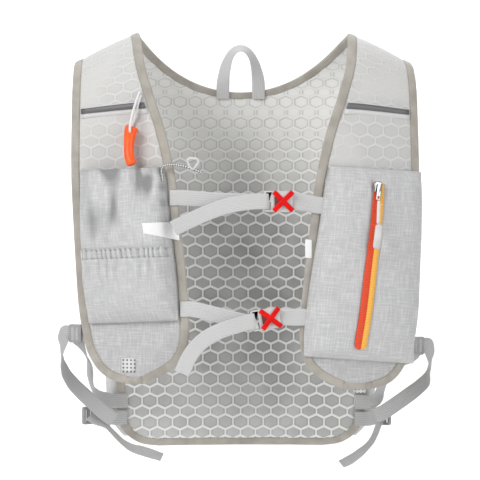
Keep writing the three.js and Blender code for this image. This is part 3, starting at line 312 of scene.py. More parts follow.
tube(drawcord_tube, drawcord_line, lambda share: cord_thickness / 2, Vector((0, 1, 0)), 12)
drawcord = finished_piece("drawcord_braid", drawcord_tube, checked_braid, ["drawcord"])

# Whistle: a bent tube moulded in orange plastic, thinner below and rounded at both ends. It hangs on the
# loop, which runs through it near its top.
whistle_bend = (
    (-109.6, -81, -97),
    (-111.6, -81, -103),
    (-112.6, -81.4, -111),
    (-112.9, -82.4, -120),
    (-112.2, -83.6, -127),
    (-109.8, -85, -133.5),
)


def whistle_girth(share):
    end = min(share, 1 - share) * 12
    rounded_end = math.sqrt(max(0, 1 - (1 - min(end, 1)) ** 2))
    return blend(6.4, 4.9, ease(share, 0, 0.55)) * (0.82 + 0.18 * rounded_end)


whistle_body = bmesh.new()
tube(whistle_body, smooth_line(whistle_bend, 6), whistle_girth, Vector((0, 1, 0)), 28)
orange_plastic, orange_tree, orange_shader = start_material(
    "orange_plastic", (1.0, 0.12, 0.01), 0.42, Coat_Weight=0.1, Coat_Roughness=0.2
)


def object_noise(tree, scale, detail=3, stretch=(1, 1, 1)):
    places = tree.nodes.new("ShaderNodeTexCoord")
    mapping = tree.nodes.new("ShaderNodeMapping")
    mapping.inputs["Scale"].default_value = stretch
    tree.links.new(places.outputs["Object"], mapping.inputs["Vector"])
    speckle = tree.nodes.new("ShaderNodeTexNoise")
    speckle.inputs["Scale"].default_value = scale
    speckle.inputs["Detail"].default_value = detail
    tree.links.new(mapping.outputs[0], speckle.inputs["Vector"])
    return speckle.outputs[0]


raise_surface(orange_tree, orange_shader, object_noise(orange_tree, 900), 0.12, 0.2)
orange_worn = between(orange_tree, object_noise(orange_tree, 160), 0.35, 0.75)
orange_shade = mix_colours(orange_tree, orange_worn, (0.95, 0.09, 0.004), (1.0, 0.13, 0.01))
orange_tree.links.new(orange_shade, orange_shader.inputs["Base Color"])
whistle = finished_piece("whistle_tube", whistle_body, orange_plastic, ["whistle"])


# Cord puller: a white moulded ring, rounded and three-sided, that the drawcord runs through.
# It is one round bar bent into a ring whose reach from its middle swells three times.
def moulded_plastic(name, colour, shade, roughness, coat=0.0):
    material, tree, shader = start_material(name, colour, roughness, Coat_Weight=coat)
    cloudy = between(tree, object_noise(tree, 120), 0.3, 0.7)
    tree.links.new(mix_colours(tree, cloudy, colour, shade), shader.inputs["Base Color"])
    raise_surface(tree, shader, object_noise(tree, 1500, 2), 0.15, 0.1)
    return material


pale_plastic = moulded_plastic("pale_plastic", (0.62, 0.62, 0.61), (0.52, 0.52, 0.51), 0.42)
ring_middle = Vector((-51.6, -92.2, -132.2))
ring_steps = 36
ring_bar = 2.6
ring_line = []
for k in range(ring_steps + 1):
    turn = 2 * math.pi * k / ring_steps
    reach = 4.9 + 0.8 * math.cos(3 * (turn - 0.45))
    ring_line.append(ring_middle + Vector((math.cos(turn), 0, math.sin(turn))) * reach)
ring = bmesh.new()
tube(ring, ring_line, lambda share: ring_bar / 2, Vector((0, 1, 0)), 14)
cord_puller = finished_piece("cord_puller_ring", ring, pale_plastic, ["cord_puller"])


# Back panel: a padded spacer mesh with a knitted honeycomb, cut in one piece with the two shoulder yokes.
# The cloth follows the wearer's back. A place on the vest is (x, s): s is the length along the cloth from
# the shoulder ridge, negative down the front.
front_run = 401
back_run = 465
half_width = 172
neck_half = 104
neck_dip = 99
arch_rise = 60
slope_fade = 180


def body_point(x, s):
    depth, wrap, reach, roll = (85, 45, front_run, -6) if s < 0 else (75, 35, back_run, 14)
    run = abs(s)
    arch = math.pi / 2 * math.sqrt((depth**2 + arch_rise**2) / 2)
    turn = min(run / arch, 1) * math.pi / 2
    beyond = abs(x) - neck_half
    share = min(run / slope_fade, 1)
    slope = 0.25 * (beyond + math.hypot(beyond, 6)) * (1 - share**2 * (3 - 2 * share))
    fall = arch_rise * (1 - math.cos(turn)) + max(0, run - arch) + slope
    curl = roll * max(0, (run - reach) / 45 + 1) ** 2
    ahead = (depth - wrap * (abs(x) / half_width) ** 2.2) * math.sin(turn) + curl
    return Vector((x, -ahead if s < 0 else ahead, -fall))


def on_body(x, s, lift):
    along = body_point(x, s + 0.5) - body_point(x, s - 0.5)
    across = body_point(x + 0.5, s) - body_point(x - 0.5, s)
    return body_point(x, s) + across.cross(along).normalized() * lift


def edge_line(rows, reach, run):
    return smooth_line([(out * reach, along * run) for along, out in rows], edge_steps)


def inset(points, distance):
    moved = []
    for i, p in enumerate(points):
        if i == 0:
            moved.append(Vector((p.x, p.y + abs(distance))))
        elif p.x < 1e-6:
            moved.append(Vector((0, p.y + distance)))
        else:
            t = (points[min(i + 1, len(points) - 1)] - points[i - 1]).normalized()
            moved.append(Vector((p.x + distance * t.y, p.y - distance * t.x)))
    return moved


edge_steps = 8
front_inner = (
    (0, 1), (0.19, 0.95), (0.29, 0.873), (0.39, 0.75), (0.51, 0.65), (0.61, 0.61),
    (0.72, 0.563), (0.82, 0.533), (0.885, 0.53), (0.935, 0.585), (0.97, 0.72), (1, 0.95),
)  # fmt: skip
front_outer = (
    (0, 0.971), (0.2, 0.977), (0.34, 0.982), (0.48, 0.985), (0.6, 0.974), (0.72, 0.958),
    (0.82, 0.94), (0.905, 0.905), (0.945, 0.866), (0.972, 0.818), (0.99, 0.755), (1, 0.665),
)  # fmt: skip
back_outer = (
    (0, 0.971), (0.08, 0.962), (0.16, 0.935), (0.25, 0.885), (0.4, 0.82), (0.55, 0.775),
    (0.7, 0.75), (0.84, 0.742), (0.92, 0.738), (0.965, 0.7), (0.992, 0.61), (1, 0.5),
)  # fmt: skip
neck_steps = 3 * edge_steps
neck_edges = {}
arm_edges = {}
for side, lower, inner_by, outer_by in ((-1, 0, 0, 0), (1, 6, -4.5, 8)):
    drop = 1 + lower / front_run
    inner_rows = [(along * drop, out + inner_by * along**2 / neck_half) for along, out in front_inner]
    outer_rows = [(along * drop, out + outer_by * along**2 / half_width) for along, out in front_outer]
    inner = edge_line(inner_rows, neck_half, -front_run)
    outer = edge_line(outer_rows, half_width, -front_run)
    turns = [k / neck_steps * math.pi / 2 for k in range(1, neck_steps + 1)]
    neck = [Vector((neck_half * math.cos(turn), neck_dip * math.sin(turn))) for turn in turns]
    neck_edges[side] = inner[::-1] + neck
    arm_edges[side] = outer[::-1] + edge_line(back_outer, half_width, back_run)[1:]
ridge = 11 * edge_steps
yoke = 3 * edge_steps
seam_inset = 7.5


def lay_between(bm, columns, first, second, side, lift):
    rows = len(first) - 1

    def place(u, v):
        k = round(v * rows)
        p = first[k].lerp(second[k], u)
        return on_body(side * p.x, p.y, lift(u, v))

    def measure(u, v):
        k = round(v * rows)
        p = first[k].lerp(second[k], u)
        return (side * p.x, p.y)

    lay_grid(bm, columns, rows, place, measure)


def close_cloth(bm):
    bmesh.ops.remove_doubles(bm, verts=bm.verts, dist=2e-5)
    bmesh.ops.recalc_face_normals(bm, faces=bm.faces)


def thicken(piece, wall):
    solid = piece.modifiers.new("wall", "SOLIDIFY")
    solid.thickness = wall * MM
    solid.offset = 0
    return piece


def puff(u, height):
    return height * (1 - abs(2 * u - 1) ** 4)


back_cloth = bmesh.new()
for side in (-1, 1):
    neck = inset(neck_edges[side], seam_inset)[ridge:]
    arm = inset(arm_edges[side], -seam_inset)[ridge:]
    lay_between(back_cloth, 24, neck, arm[: yoke + 1], side, lambda u, v: 0)
    lowest = arm[-1].y
    top = neck[-1].y
    stretch = (lowest - top) / (lowest - arm[yoke].y)
    middle = [Vector((0, top + (p.y - arm[yoke].y) * stretch)) for p in arm[yoke:]]
    lay_between(back_cloth, 24, middle, arm[yoke:], side, lambda u, v: 0)
close_cloth(back_cloth)


def honeycomb(tree, pitch, squash):
    """Distance from the middle of the nearest cell, 0 to 0.5, over the cloth's own measure in mm."""
    places = add_node(tree, "ShaderNodeUVMap")
    spot = add_node(
        tree, "ShaderNodeVectorMath", places, (1 / pitch, squash / pitch, 0), operation="MULTIPLY"
    )
    cell = (1, math.sqrt(3), 1)
    half = (0.5, math.sqrt(3) / 2, 0.5)
    less = tuple(-value for value in half)
    near = add_node(tree, "ShaderNodeVectorMath", spot, half, less, operation="WRAP")
    shifted = add_node(tree, "ShaderNodeVectorMath", spot, half, operation="SUBTRACT")
    far = add_node(tree, "ShaderNodeVectorMath", shifted, half, less, operation="WRAP")
    lengths = []
    for one in (near, far):
        item = tree.nodes.new("ShaderNodeVectorMath")
        item.operation = "LENGTH"
        tree.links.new(one, item.inputs[0])
        lengths.append(item.outputs["Value"])
    pick = sum_of(tree, "LESS_THAN", *lengths)
    item = tree.nodes.new("ShaderNodeMix")
    item.data_type = "VECTOR"
    tree.links.new(pick, item.inputs[0])
    tree.links.new(far, item.inputs[4])
    tree.links.new(near, item.inputs[5])
    folded = add_node(tree, "ShaderNodeVectorMath", item.outputs[1], operation="ABSOLUTE")
    split = tree.nodes.new("ShaderNodeSeparateXYZ")
    tree.links.new(folded, split.inputs[0])
    slanted = sum_of(
        tree,
        "ADD",
        sum_of(tree, "MULTIPLY", split.outputs[0], 0.5),
        sum_of(tree, "MULTIPLY", split.outputs[1], math.sqrt(3) / 2),
    )
    return sum_of(tree, "MAXIMUM", split.outputs[0], slanted)


def cloth_measure(tree):
    split = tree.nodes.new("ShaderNodeSeparateXYZ")
    tree.links.new(add_node(tree, "ShaderNodeUVMap"), split.inputs[0])
    return split.outputs[0], split.outputs[1]


def honeycomb_colour(tree, line, pale_cell, deep_cell, darken_share, rim_shade_share):
    cell = honeycomb(tree, 15.7, 1.236)
    ridge_share = between(tree, cell, 0.425, 0.465)
    patchy = between(tree, object_noise(tree, 22, 2), 0.35, 0.65)
    uneven = sum_of(tree, "ADD", 0.75, sum_of(tree, "MULTIPLY", patchy, 0.25))
    # darken_share blends the cells towards deep_cell; on the back panel it carries painted shade.
    deep = sum_of(tree, "MULTIPLY", darken_share, uneven)
    fill = mix_colours(tree, deep, pale_cell, deep_cell)
    # Painted shade: each cell darkens towards its rim, beside the raised lines of the honeycomb.
    rim_shade = sum_of(tree, "MULTIPLY", between(tree, cell, 0.3, 0.43, 0.0, 0.35), rim_shade_share)
    fill = mix_colours(tree, rim_shade, fill, tuple(0.45 * value for value in deep_cell))
    return mix_colours(tree, ridge_share, fill, line), ridge_share


back_mesh, back_tree, back_shader = start_material("back_mesh", (0.5, 0.5, 0.49), 0.85, Sheen_Weight=0.2)
# Painted shade: the cells darken from 110 mm to 260 mm down the back and ease a little from 330 mm to 420 mm,
# where the inside of the back lies in shade between the front panels.
down_back = cloth_measure(back_tree)[1]
shade_from = between(back_tree, down_back, 110, 260, 0.1, 1)
shade_to = between(back_tree, down_back, 330, 420, 1, 0.78)
back_painted_shade = sum_of(back_tree, "MULTIPLY", shade_from, shade_to)
back_colour, back_ridge = honeycomb_colour(
    back_tree, (0.78, 0.78, 0.76), (0.82, 0.815, 0.79), (0.31, 0.31, 0.305), back_painted_shade, 0.8
)
back_tree.links.new(back_colour, back_shader.inputs["Base Color"])
knit = sum_of(back_tree, "MULTIPLY", object_noise(back_tree, 1400, 2), 0.35)
raise_surface(back_tree, back_shader, sum_of(back_tree, "ADD", back_ridge, knit), 0.6, 1.2)
back_panel = thicken(
    finished_piece("back_panel_mesh", back_cloth, back_mesh, ["back_panel"]), 4
)


# Front panels: the same padded mesh over the shoulders, and pale slub-weave cloth from the pockets down.
# Each panel is a strip of even thickness that swells a little between its bindings.
def slub_weave(tree, pale, deep):
    """Pale cloth whose threads thicken and thin, which shows as faint crossed dashes."""
    places = tree.nodes.new("ShaderNodeUVMap").outputs[0]
    streaks = []
    for stretch in ((0.06, 0.9, 1), (0.9, 0.06, 1)):
        scaled = add_node(tree, "ShaderNodeVectorMath", places, stretch, operation="MULTIPLY")
        speckle = tree.nodes.new("ShaderNodeTexNoise")
        speckle.inputs["Scale"].default_value = 1
        speckle.inputs["Detail"].default_value = 3
        tree.links.new(scaled, speckle.inputs["Vector"])
        streaks.append(between(tree, speckle.outputs[0], 0.42, 0.68))
    share = sum_of(tree, "MULTIPLY", sum_of(tree, "ADD", *streaks), 0.5)
    return mix_colours(tree, share, deep, pale), share


front_mesh, front_tree, front_shader = start_material(
    "front_mesh", (0.6, 0.6, 0.59), 0.85, Sheen_Weight=0.25
)
down_front = cloth_measure(front_tree)[1]
front_depth = between(front_tree, down_front, -60, -200, 0.15, 0.45)
front_colour, front_ridge = honeycomb_colour(
    front_tree, (0.6, 0.6, 0.59), (0.57, 0.565, 0.55), (0.44, 0.44, 0.43), front_depth, 0.3
)
front_slub, front_threads = slub_weave(front_tree, (0.57, 0.57, 0.57), (0.4, 0.4, 0.4))
plain_patch = between(front_tree, object_noise(front_tree, 14, 2), 0.46, 0.58)
front_colour = mix_colours(
    front_tree, sum_of(front_tree, "MULTIPLY", plain_patch, 0.8), front_colour, (0.58, 0.575, 0.56)
)
below_pocket = between(front_tree, down_front, -215, -225)
front_tree.links.new(
    mix_colours(front_tree, below_pocket, front_colour, front_slub), front_shader.inputs["Base Color"]
)
raised = sum_of(front_tree, "MULTIPLY", front_ridge, sum_of(front_tree, "SUBTRACT", 1.0, below_pocket))
smoothed = sum_of(front_tree, "SUBTRACT", 0.8, sum_of(front_tree, "MULTIPLY", plain_patch, 0.6))
raised = sum_of(front_tree, "MULTIPLY", raised, smoothed)
raised = sum_of(front_tree, "ADD", raised, sum_of(front_tree, "MULTIPLY", front_threads, 0.15))
raise_surface(front_tree, front_shader, raised, 0.45, 1.0)
for side, name in ((-1, "front_panel_right"), (1, "front_panel_left")):
    strip = bmesh.new()
    lay_between(
        strip,
        26,
        inset(neck_edges[side], seam_inset)[: ridge + 1],
        inset(arm_edges[side], -seam_inset)[: ridge + 1],
        side,
        lambda u, v: puff(u, 1.0) + 0.35 * math.sin(34 * v) * math.sin(math.pi * u),
    )
    close_cloth(strip)
    panel = thicken(finished_piece(name + "_cloth", strip, front_mesh, [name]), 2.8)


# Bindings: taupe elastic tape folded over every edge and stitched down, one length round the neck and the
# fronts, and one round each armhole, side and half of the hem. The stitches pucker the tape a little.
binding_width = 9


def squared(turn, power):
    return math.copysign(abs(turn) ** power, turn)


def binding_tape_round(bm, rows):
    last = len(rows) - 1

    def place(u, v):
        side, edge, inner = rows[round(v * last)]
        turn = 2 * math.pi * u
        share = 0.5 - 0.5 * squared(math.cos(turn), 0.55)
        swell = 2.55 + 0.22 * math.sin(v * last * 2.1)
        lift = swell * squared(math.sin(turn), 0.6)
        p = edge.lerp(inner, share)
        return on_body(side * p.x, p.y, lift)

    length = [0]
    for (_, a, _), (_, b, _) in zip(rows, rows[1:]):
        length.append(length[-1] + (b - a).length)
    lay_grid(bm, 18, last, place, lambda u, v: (u * 28, length[round(v * last)]))
    close_tube(bm)


binding, binding_tree, binding_shader = start_material(
    "binding_tape", (0.55, 0.52, 0.46), 0.9, Sheen_Weight=0.3
)
round_tape, along_tape = cloth_measure(binding_tree)
rib = sum_of(binding_tree, "SINE", sum_of(binding_tree, "MULTIPLY", round_tape, 4.5))
weft = sum_of(binding_tree, "SINE", sum_of(binding_tree, "MULTIPLY", along_tape, 5.5))
fabric = sum_of(binding_tree, "MULTIPLY", rib, weft)
stitch_gap = sum_of(binding_tree, "FRACT", sum_of(binding_tree, "MULTIPLY", along_tape, 1 / 3.6))
stitch_length = sum_of(binding_tree, "LESS_THAN", stitch_gap, 0.68)
rows_of_stitches = []
for centre in (10.6, 17.4):
    away = sum_of(binding_tree, "ABSOLUTE", sum_of(binding_tree, "SUBTRACT", round_tape, centre))
    rows_of_stitches.append(sum_of(binding_tree, "LESS_THAN", away, 0.55))
stitch = sum_of(binding_tree, "MULTIPLY", stitch_length, sum_of(binding_tree, "ADD", *rows_of_stitches))
worn = between(binding_tree, object_noise(binding_tree, 60), 0.3, 0.7)
tape_colour = mix_colours(binding_tree, worn, (0.33, 0.307, 0.27), (0.42, 0.395, 0.35))
tape_colour = mix_colours(binding_tree, stitch, tape_colour, (0.27, 0.25, 0.215))
binding_tree.links.new(tape_colour, binding_shader.inputs["Base Color"])
tape_height = sum_of(
    binding_tree,
    "SUBTRACT",
    sum_of(binding_tree, "MULTIPLY", fabric, 0.18),
    sum_of(binding_tree, "MULTIPLY", stitch, 0.9),
)
raise_surface(binding_tree, binding_shader, tape_height, 0.55, 0.6)

neck_halves = {
    side: [(side, outer, inner) for outer, inner in zip(edge, inset(edge, binding_width))]
    for side, edge in neck_edges.items()
}
neck_rows = neck_halves[-1] + neck_halves[1][-2::-1]
neck_tape = bmesh.new()
binding_tape_round(neck_tape, neck_rows)
finished_piece("neck_binding_tape", neck_tape, binding, ["neck_binding"])
for side, name in ((-1, "right"), (1, "left")):
    arm = arm_edges[side]
    start = Vector((neck_edges[side][0].x, arm[0].y))
    hem = [Vector((arm[-1].x * share, arm[-1].y)) for share in (0.8, 0.6, 0.4, 0.2, 0)]
    up = Vector((0, binding_width))
    rows = [(side, start, start + up)]
    rows += [(side, edge, inner) for edge, inner in zip(arm, inset(arm, -binding_width))]
    rows += [(side, point, point - up) for point in hem]
    arm_tape = bmesh.new()
    binding_tape_round(arm_tape, rows)
    finished_piece(
        "armhole_binding_tape_" + name, arm_tape, binding, ["armhole_binding_" + name]
    )


# Rear compartment: a flat pocket of pale slub-weave cloth on the outside of the back, open at its top.
# The cloth lies over the back's binding and its lower corners are rounded.
def packed_copy(node):
    bm = bmesh.new()
    bm.from_mesh(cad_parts[node].data)
    bmesh.ops.remove_doubles(bm, verts=bm.verts, dist=1e-5)
    return bm


def sewn_copy(node, name, material, smooth, crease=1.0):
    """A finer copy of a packed cloth or tape piece, whose cut edges stay sharp."""
    bm = packed_copy(node)
    bmesh.ops.join_triangles(
        bm, faces=bm.faces, angle_face_threshold=math.radians(30), angle_shape_threshold=math.radians(60)
    )
    marks = bm.edges.layers.float.new("crease_edge")
    for edge in bm.edges:
        if edge.calc_face_angle(0) > math.radians(40):
            edge[marks] = crease
    piece = finished_piece(name, bm, material, [node])
    finer = piece.modifiers.new("finer", "SUBSURF")
    finer.levels = smooth
    finer.render_levels = smooth
    return piece


def object_slub(tree, pale, deep):
    streaks = []
    for stretch in ((60, 60, 900), (900, 900, 60)):
        streaks.append(between(tree, object_noise(tree, 1, 3, stretch), 0.42, 0.68))
    share = sum_of(tree, "MULTIPLY", sum_of(tree, "ADD", *streaks), 0.5)
    return mix_colours(tree, share, deep, pale), share


rear_cloth, rear_tree, rear_shader = start_material("rear_cloth", (0.62, 0.62, 0.62), 0.8, Sheen_Weight=0.2)
rear_colour, rear_threads = object_slub(rear_tree, (0.68, 0.68, 0.675), (0.58, 0.58, 0.58))
rear_tree.links.new(rear_colour, rear_shader.inputs["Base Color"])
rear_height = sum_of(
    rear_tree,
    "ADD",
    sum_of(rear_tree, "MULTIPLY", rear_threads, 0.1),
    sum_of(rear_tree, "MULTIPLY", object_noise(rear_tree, 28, 4), 1.6),
)
raise_surface(rear_tree, rear_shader, rear_height, 0.5, 3.0)
rear_shell = sewn_copy("rear_shell", "rear_compartment", rear_cloth, 2)


# Bottle pocket: pale slub-weave cloth gathered at its mouth by the drawcord, with a pleated side at the inner
# seam. A lower pocket of the same cloth lies over it, its hem held in by elastic, which ruffles it.
def read_table(line, at):
    for a, b in zip(line, line[1:]):
        if at <= b.x:
            return a.y + (b.y - a.y) * max(0, at - a.x) / max(b.x - a.x, 1e-9)
    return line[-1].y


def edge_out(edges, side, s):
    return read_table([p.yx for p in edges[side][: ridge + 1]], s)


def pocket_point(side, top, bottom, inner_inset, outer_inset, u, v, lift):
    s = -front_run * blend(blend(*top, u), blend(*bottom, u), v)
    reach = max(s, -0.9 * front_run)
    inner = edge_out(neck_edges, side, reach) + inner_inset
    outer = edge_out(arm_edges, side, reach) - outer_inset
    return on_body(side * blend(inner, outer, u), s, lift)


box_section = smooth_line(
    (
        (0, 0), (0.025, 0.32), (0.07, 0.66), (0.16, 0.88), (0.32, 0.98), (0.5, 1),
        (0.68, 0.98), (0.84, 0.88), (0.93, 0.66), (0.975, 0.32), (1, 0),
    ),
    6,
)  # fmt: skip
bottle_profile = smooth_line(
    (
        (0, 0.5), (0.05, 0.52), (0.12, 0.66), (0.22, 0.84), (0.36, 0.97), (0.52, 1),
        (0.68, 0.95), (0.82, 0.8), (0.92, 0.55), (0.975, 0.26), (1, 0),
    ),
    6,
)  # fmt: skip


def wrinkle(x, y, size, height):
    return height * noise.noise(Vector((x / size, y / size, 3.7)))


def bump_at(u, v, middle, spread):
    return math.exp(-(((u - middle[0]) / spread[0]) ** 2) - ((v - middle[1]) / spread[1]) ** 2)


def bottle_ruffle(u, v):
    side = math.sin(math.pi * u)
    free = side * (1 - ease(v, 0.42, 0.56)) * (1 - bump_at(u, v, (0.1, 0.38), (0.2, 0.1)))
    mouth = (1 - ease(v, 0.0, 0.34)) * side
    near_cord = ease(1 - u, 0.45, 0.9)
    fan = 2.3 * math.sin(46 * max(0, 1 - u) ** 0.8 + 9 * v) * mouth * near_cord
    fold = 1.9 * math.sin(19 * u + 3.2 * v + 2 * wrinkle(u, v, 0.3, 1)) * (1 - ease(v, 0.2, 0.5)) * free
    crease = (wrinkle(u * 90, v * 60, 20, 5) + wrinkle(u * 90 + 40, v * 40, 9, 2.2)) * free
    pucker = 3.2 * bump_at(u, v, (0.18, 0.09), (0.05, 0.06))
    return fan + fold + crease - pucker


def bottle_lift(u, v):
    return 24 * read_table(box_section, u) * read_table(bottle_profile, v) + bottle_ruffle(u, v)


# Stores painted shade for each vertex of a cloth grid, 0 to 1, as its "fold" attribute.
def mark_fold_shade(bm, columns, rows, shade_at):
    layer = bm.verts.layers.float.new("fold")
    for k, vert in enumerate(bm.verts):
        vert[layer] = max(0, min(1, shade_at(k % (columns + 1) / columns, k // (columns + 1) / rows)))


def line_at(v, middle, spread):
    return math.exp(-(((v - middle) / spread) ** 2))


# Painted shade of the bottle pocket: in its hollows, down the pleated side at the inner seam and along its
# mouth.
def bottle_fold_shade(u, v):
    pleats = line_at(u, 0.03, 0.035) * (1 - ease(v, 0.2, 0.42)) * (0.6 + 0.4 * math.sin(60 * v))
    top = 0.25 * line_at(v, 0, 0.015)
    return 0.34 * max(0, -bottle_ruffle(u, v)) ** 1.3 + 0.8 * pleats + top


def bottle_point(u, v, extra=0):
    lift = 2.6 + bottle_lift(u, v) + extra
    return pocket_point(-1, (0.478, 0.485), (0.845, 0.855), 10, 10, u, v, lift)


pocket_cloth, pocket_tree, pocket_shader = start_material(
    "pocket_cloth", (0.62, 0.62, 0.62), 0.8, Sheen_Weight=0.2
)
pocket_colour, pocket_threads = slub_weave(pocket_tree, (0.62, 0.62, 0.62), (0.45, 0.45, 0.455))
# Painted shade: the "fold" attribute darkens the cloth towards near black in its folds and hollows.
fold_shade_node = pocket_tree.nodes.new("ShaderNodeAttribute")
fold_shade_node.attribute_name = "fold"
fold_shade_share = sum_of(pocket_tree, "MULTIPLY", fold_shade_node.outputs["Fac"], 0.75)
fold_shaded_colour = mix_colours(pocket_tree, fold_shade_share, pocket_colour, (0.16, 0.16, 0.165))
pocket_tree.links.new(fold_shaded_colour, pocket_shader.inputs["Base Color"])
pocket_height = sum_of(
    pocket_tree,
    "ADD",
    sum_of(pocket_tree, "MULTIPLY", pocket_threads, 0.1),
    sum_of(pocket_tree, "MULTIPLY", object_noise(pocket_tree, 55, 4), 1.0),
)
raise_surface(pocket_tree, pocket_shader, pocket_height, 0.55, 1.6)

bottle_grid = (120, 110)
bottle = bmesh.new()
lay_grid(bottle, *bottle_grid, bottle_point, lambda u, v: (u * 96, v * 162))
mark_fold_shade(bottle, *bottle_grid, bottle_fold_shade)
close_cloth(bottle)
bottle_pocket = thicken(
    finished_piece("bottle_pocket_cloth", bottle, pocket_cloth, ["bottle_pocket"]), 1.2
)


def low_spread(u, v):
    side = min(1, 5 * math.sin(math.pi * u))
    wander = 0.9 * wrinkle(u * 3, v, 0.5, 1)
    pleats = math.sin(118 * u + 5 * wander) + 0.5 * math.sin(71 * u + 2)
    hem = 1 - ease(v, 0.1, 0.17)
    run_out = ease(v, 0.12, 0.18) * (1 - ease(v, 0.22, 0.62))
    rays = math.sin(58 * u + 7 * (u - 0.5) * v + 4 * wander) * run_out
    stitches = -0.9 * (line_at(v, 0.125, 0.014) + 0.5 * line_at(v, 0.02, 0.012))
    swell = 3.0 * math.sin(math.pi * u) * ease(v, 0.1, 0.35) * (1 - v**3)
    crease = wrinkle(u * 90, v * 55, 15, 3.4) * side * ease(v, 0.12, 0.3) * (1 - v)
    return 2.1 + (0.85 * pleats * hem + 1.1 * rays + stitches) * side + swell + crease, pleats * side


# Painted shade of the lower pocket: in its hollows, by how far each point lies below its neighbours, and
# along the hem's top edge and its stitched dent.
def low_fold_shade(u, v):
    here = low_spread(u, v)[0]
    steps = ((0.006, 0), (-0.006, 0), (0, 0.006), (0, -0.006))
    around = sum(low_spread(u + du, v + dv)[0] for du, dv in steps) / 4
    edge = 0.5 * line_at(v, 0, 0.02) + 0.35 * line_at(v, 0.125, 0.02)
    return 5 * (around - here) + edge * min(1, 8 * math.sin(math.pi * u))


def low_point(u, v):
    spread, pleats = low_spread(u, v)
    point = bottle_point(u, blend(0.52, 0.995, v), max(0.9, spread))
    return point + Vector((0, 0, 0.7 * pleats * (1 - ease(v, 0, 0.06))))


low_grid = (240, 90)
low = bmesh.new()
lay_grid(low, *low_grid, low_point, lambda u, v: (u * 100 + 31, v * 82 + 17))
mark_fold_shade(low, *low_grid, low_fold_shade)
close_cloth(low)
elastic_pocket = thicken(
    finished_piece("elastic_pocket_cloth", low, pocket_cloth, ["elastic_pocket"]), 1.2
)


# Zip pocket: a boxy padded pocket of the same cloth, sewn over the panel's bindings and slit for its zip.
# The cloth dips a little along the zip, where its cut edges are turned in and stitched.
zip_profile = smooth_line(
    (
        (0, 0), (0.02, 0.34), (0.06, 0.68), (0.14, 0.9), (0.3, 1), (0.5, 1),
        (0.7, 1), (0.86, 0.9), (0.94, 0.68), (0.98, 0.34), (1, 0),
    ),
    6,
)  # fmt: skip


zip_pocket_width = 104
zip_top = 0.078
zip_bottom = 0.94


def zip_middle(t):
    return blend(0.477, 0.455, t)


def zip_pocket_lift(u, v):
    t = (v - zip_top) / (zip_bottom - zip_top)
    away = abs(u - zip_middle(t)) * zip_pocket_width
    dip = 0.9 * (1 - ease(away, 5.5, 8.5)) * ease(t, -0.06, -0.01) * (1 - ease(t, 1.0, 1.05))
    side = math.sin(math.pi * u) * math.sin(math.pi * v)
    crease = (wrinkle(u * 100, v * 190, 26, 2.4) + wrinkle(u * 100 + 9, v * 190, 11, 0.9)) * side
    return 19 * read_table(box_section, u) * read_table(zip_profile, v) - dip + crease * ease(away, 6, 22)


def zip_pocket_point(u, v, extra=0):
    lift = 3.6 + zip_pocket_lift(u, v) + extra
    return pocket_point(1, (0.474, 0.486), (0.93, 0.953), blend(10.5, 3, v), 0, u, v, lift)


zip_cloth = bmesh.new()
lay_grid(zip_cloth, 110, 120, zip_pocket_point, lambda u, v: (u * zip_pocket_width + 210, v * 188))
close_cloth(zip_cloth)
zip_pocket = thicken(
    finished_piece("zip_pocket_cloth", zip_cloth, pocket_cloth, ["zip_pocket"]), 1.2
)


# Zip: an orange and a yellow tape down the pocket's face with the closed coil between them, in a slit whose
# lower end is rounded.
def zip_point(t, across, lift):
    return zip_pocket_point(zip_middle(t) + across / zip_pocket_width, blend(zip_top, zip_bottom, t), lift)


def zip_material(name, pale, deep):
    material, tree, shader = start_material(name, pale, 0.6, Sheen_Weight=0.2)
    across, along = cloth_measure(tree)
    teeth = sum_of(tree, "SINE", sum_of(tree, "MULTIPLY", along, 4.2))
    weave = between(tree, teeth, -0.6, 0.6)
    tree.links.new(mix_colours(tree, weave, deep, pale), shader.inputs["Base Color"])
    raise_surface(tree, shader, teeth, 0.5, 0.35)
    return material


zip_orange = zip_material("zip_orange", (0.82, 0.07, 0.008), (0.66, 0.045, 0.006))
zip_yellow = zip_material("zip_yellow", (0.95, 0.5, 0.07), (0.8, 0.38, 0.05))
for colour, tape_material, left, right in (
    ("orange", zip_orange, -6.6, -0.2),
    ("yellow", zip_yellow, 0.2, 5.6),
):
    tape = bmesh.new()

    def tape_place(u, v):
        end = math.sqrt(max(0.0, 1 - max(0, (v - 0.975) / 0.025) ** 2))
        across = 0.88 * blend(left, right, u) * blend(0.3, 1, end)
        crown = 0.9 * math.sin(math.pi * u)
        return zip_point(v, across, 1.5 + crown)

    lay_grid(tape, 8, 110, tape_place, lambda u, v: (blend(left, right, u), v * 156))
    close_cloth(tape)
    node = "zip_tape_" + colour
    thicken(finished_piece(node + "_weave", tape, tape_material, [node]), 0.9)


# Zip slider, its tongue and the short pull: plated metal, then a flat white cord and a moulded pale grip.
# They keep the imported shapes, with rounded edges, and lie on the seam between the two tapes.
def rounded_copy(node, name, material, bevel):
    bm = packed_copy(node)
    bmesh.ops.dissolve_limit(bm, angle_limit=math.radians(2), verts=bm.verts, edges=bm.edges)
    sharp = [edge for edge in bm.edges if edge.calc_face_angle(0) > math.radians(35)]
    bmesh.ops.bevel(
        bm,
        geom=sharp,
        offset=bevel * MM,
        offset_type="OFFSET",
        affect="EDGES",
        segments=2,
        profile=0.5,
        material=-1,
        clamp_overlap=True,
    )
    bmesh.ops.triangulate(bm, faces=[face for face in bm.faces if len(face.verts) > 4])
    piece = finished_piece(name, bm, material, [node])
    piece.data.set_sharp_from_angle(angle=math.radians(50))
    return piece


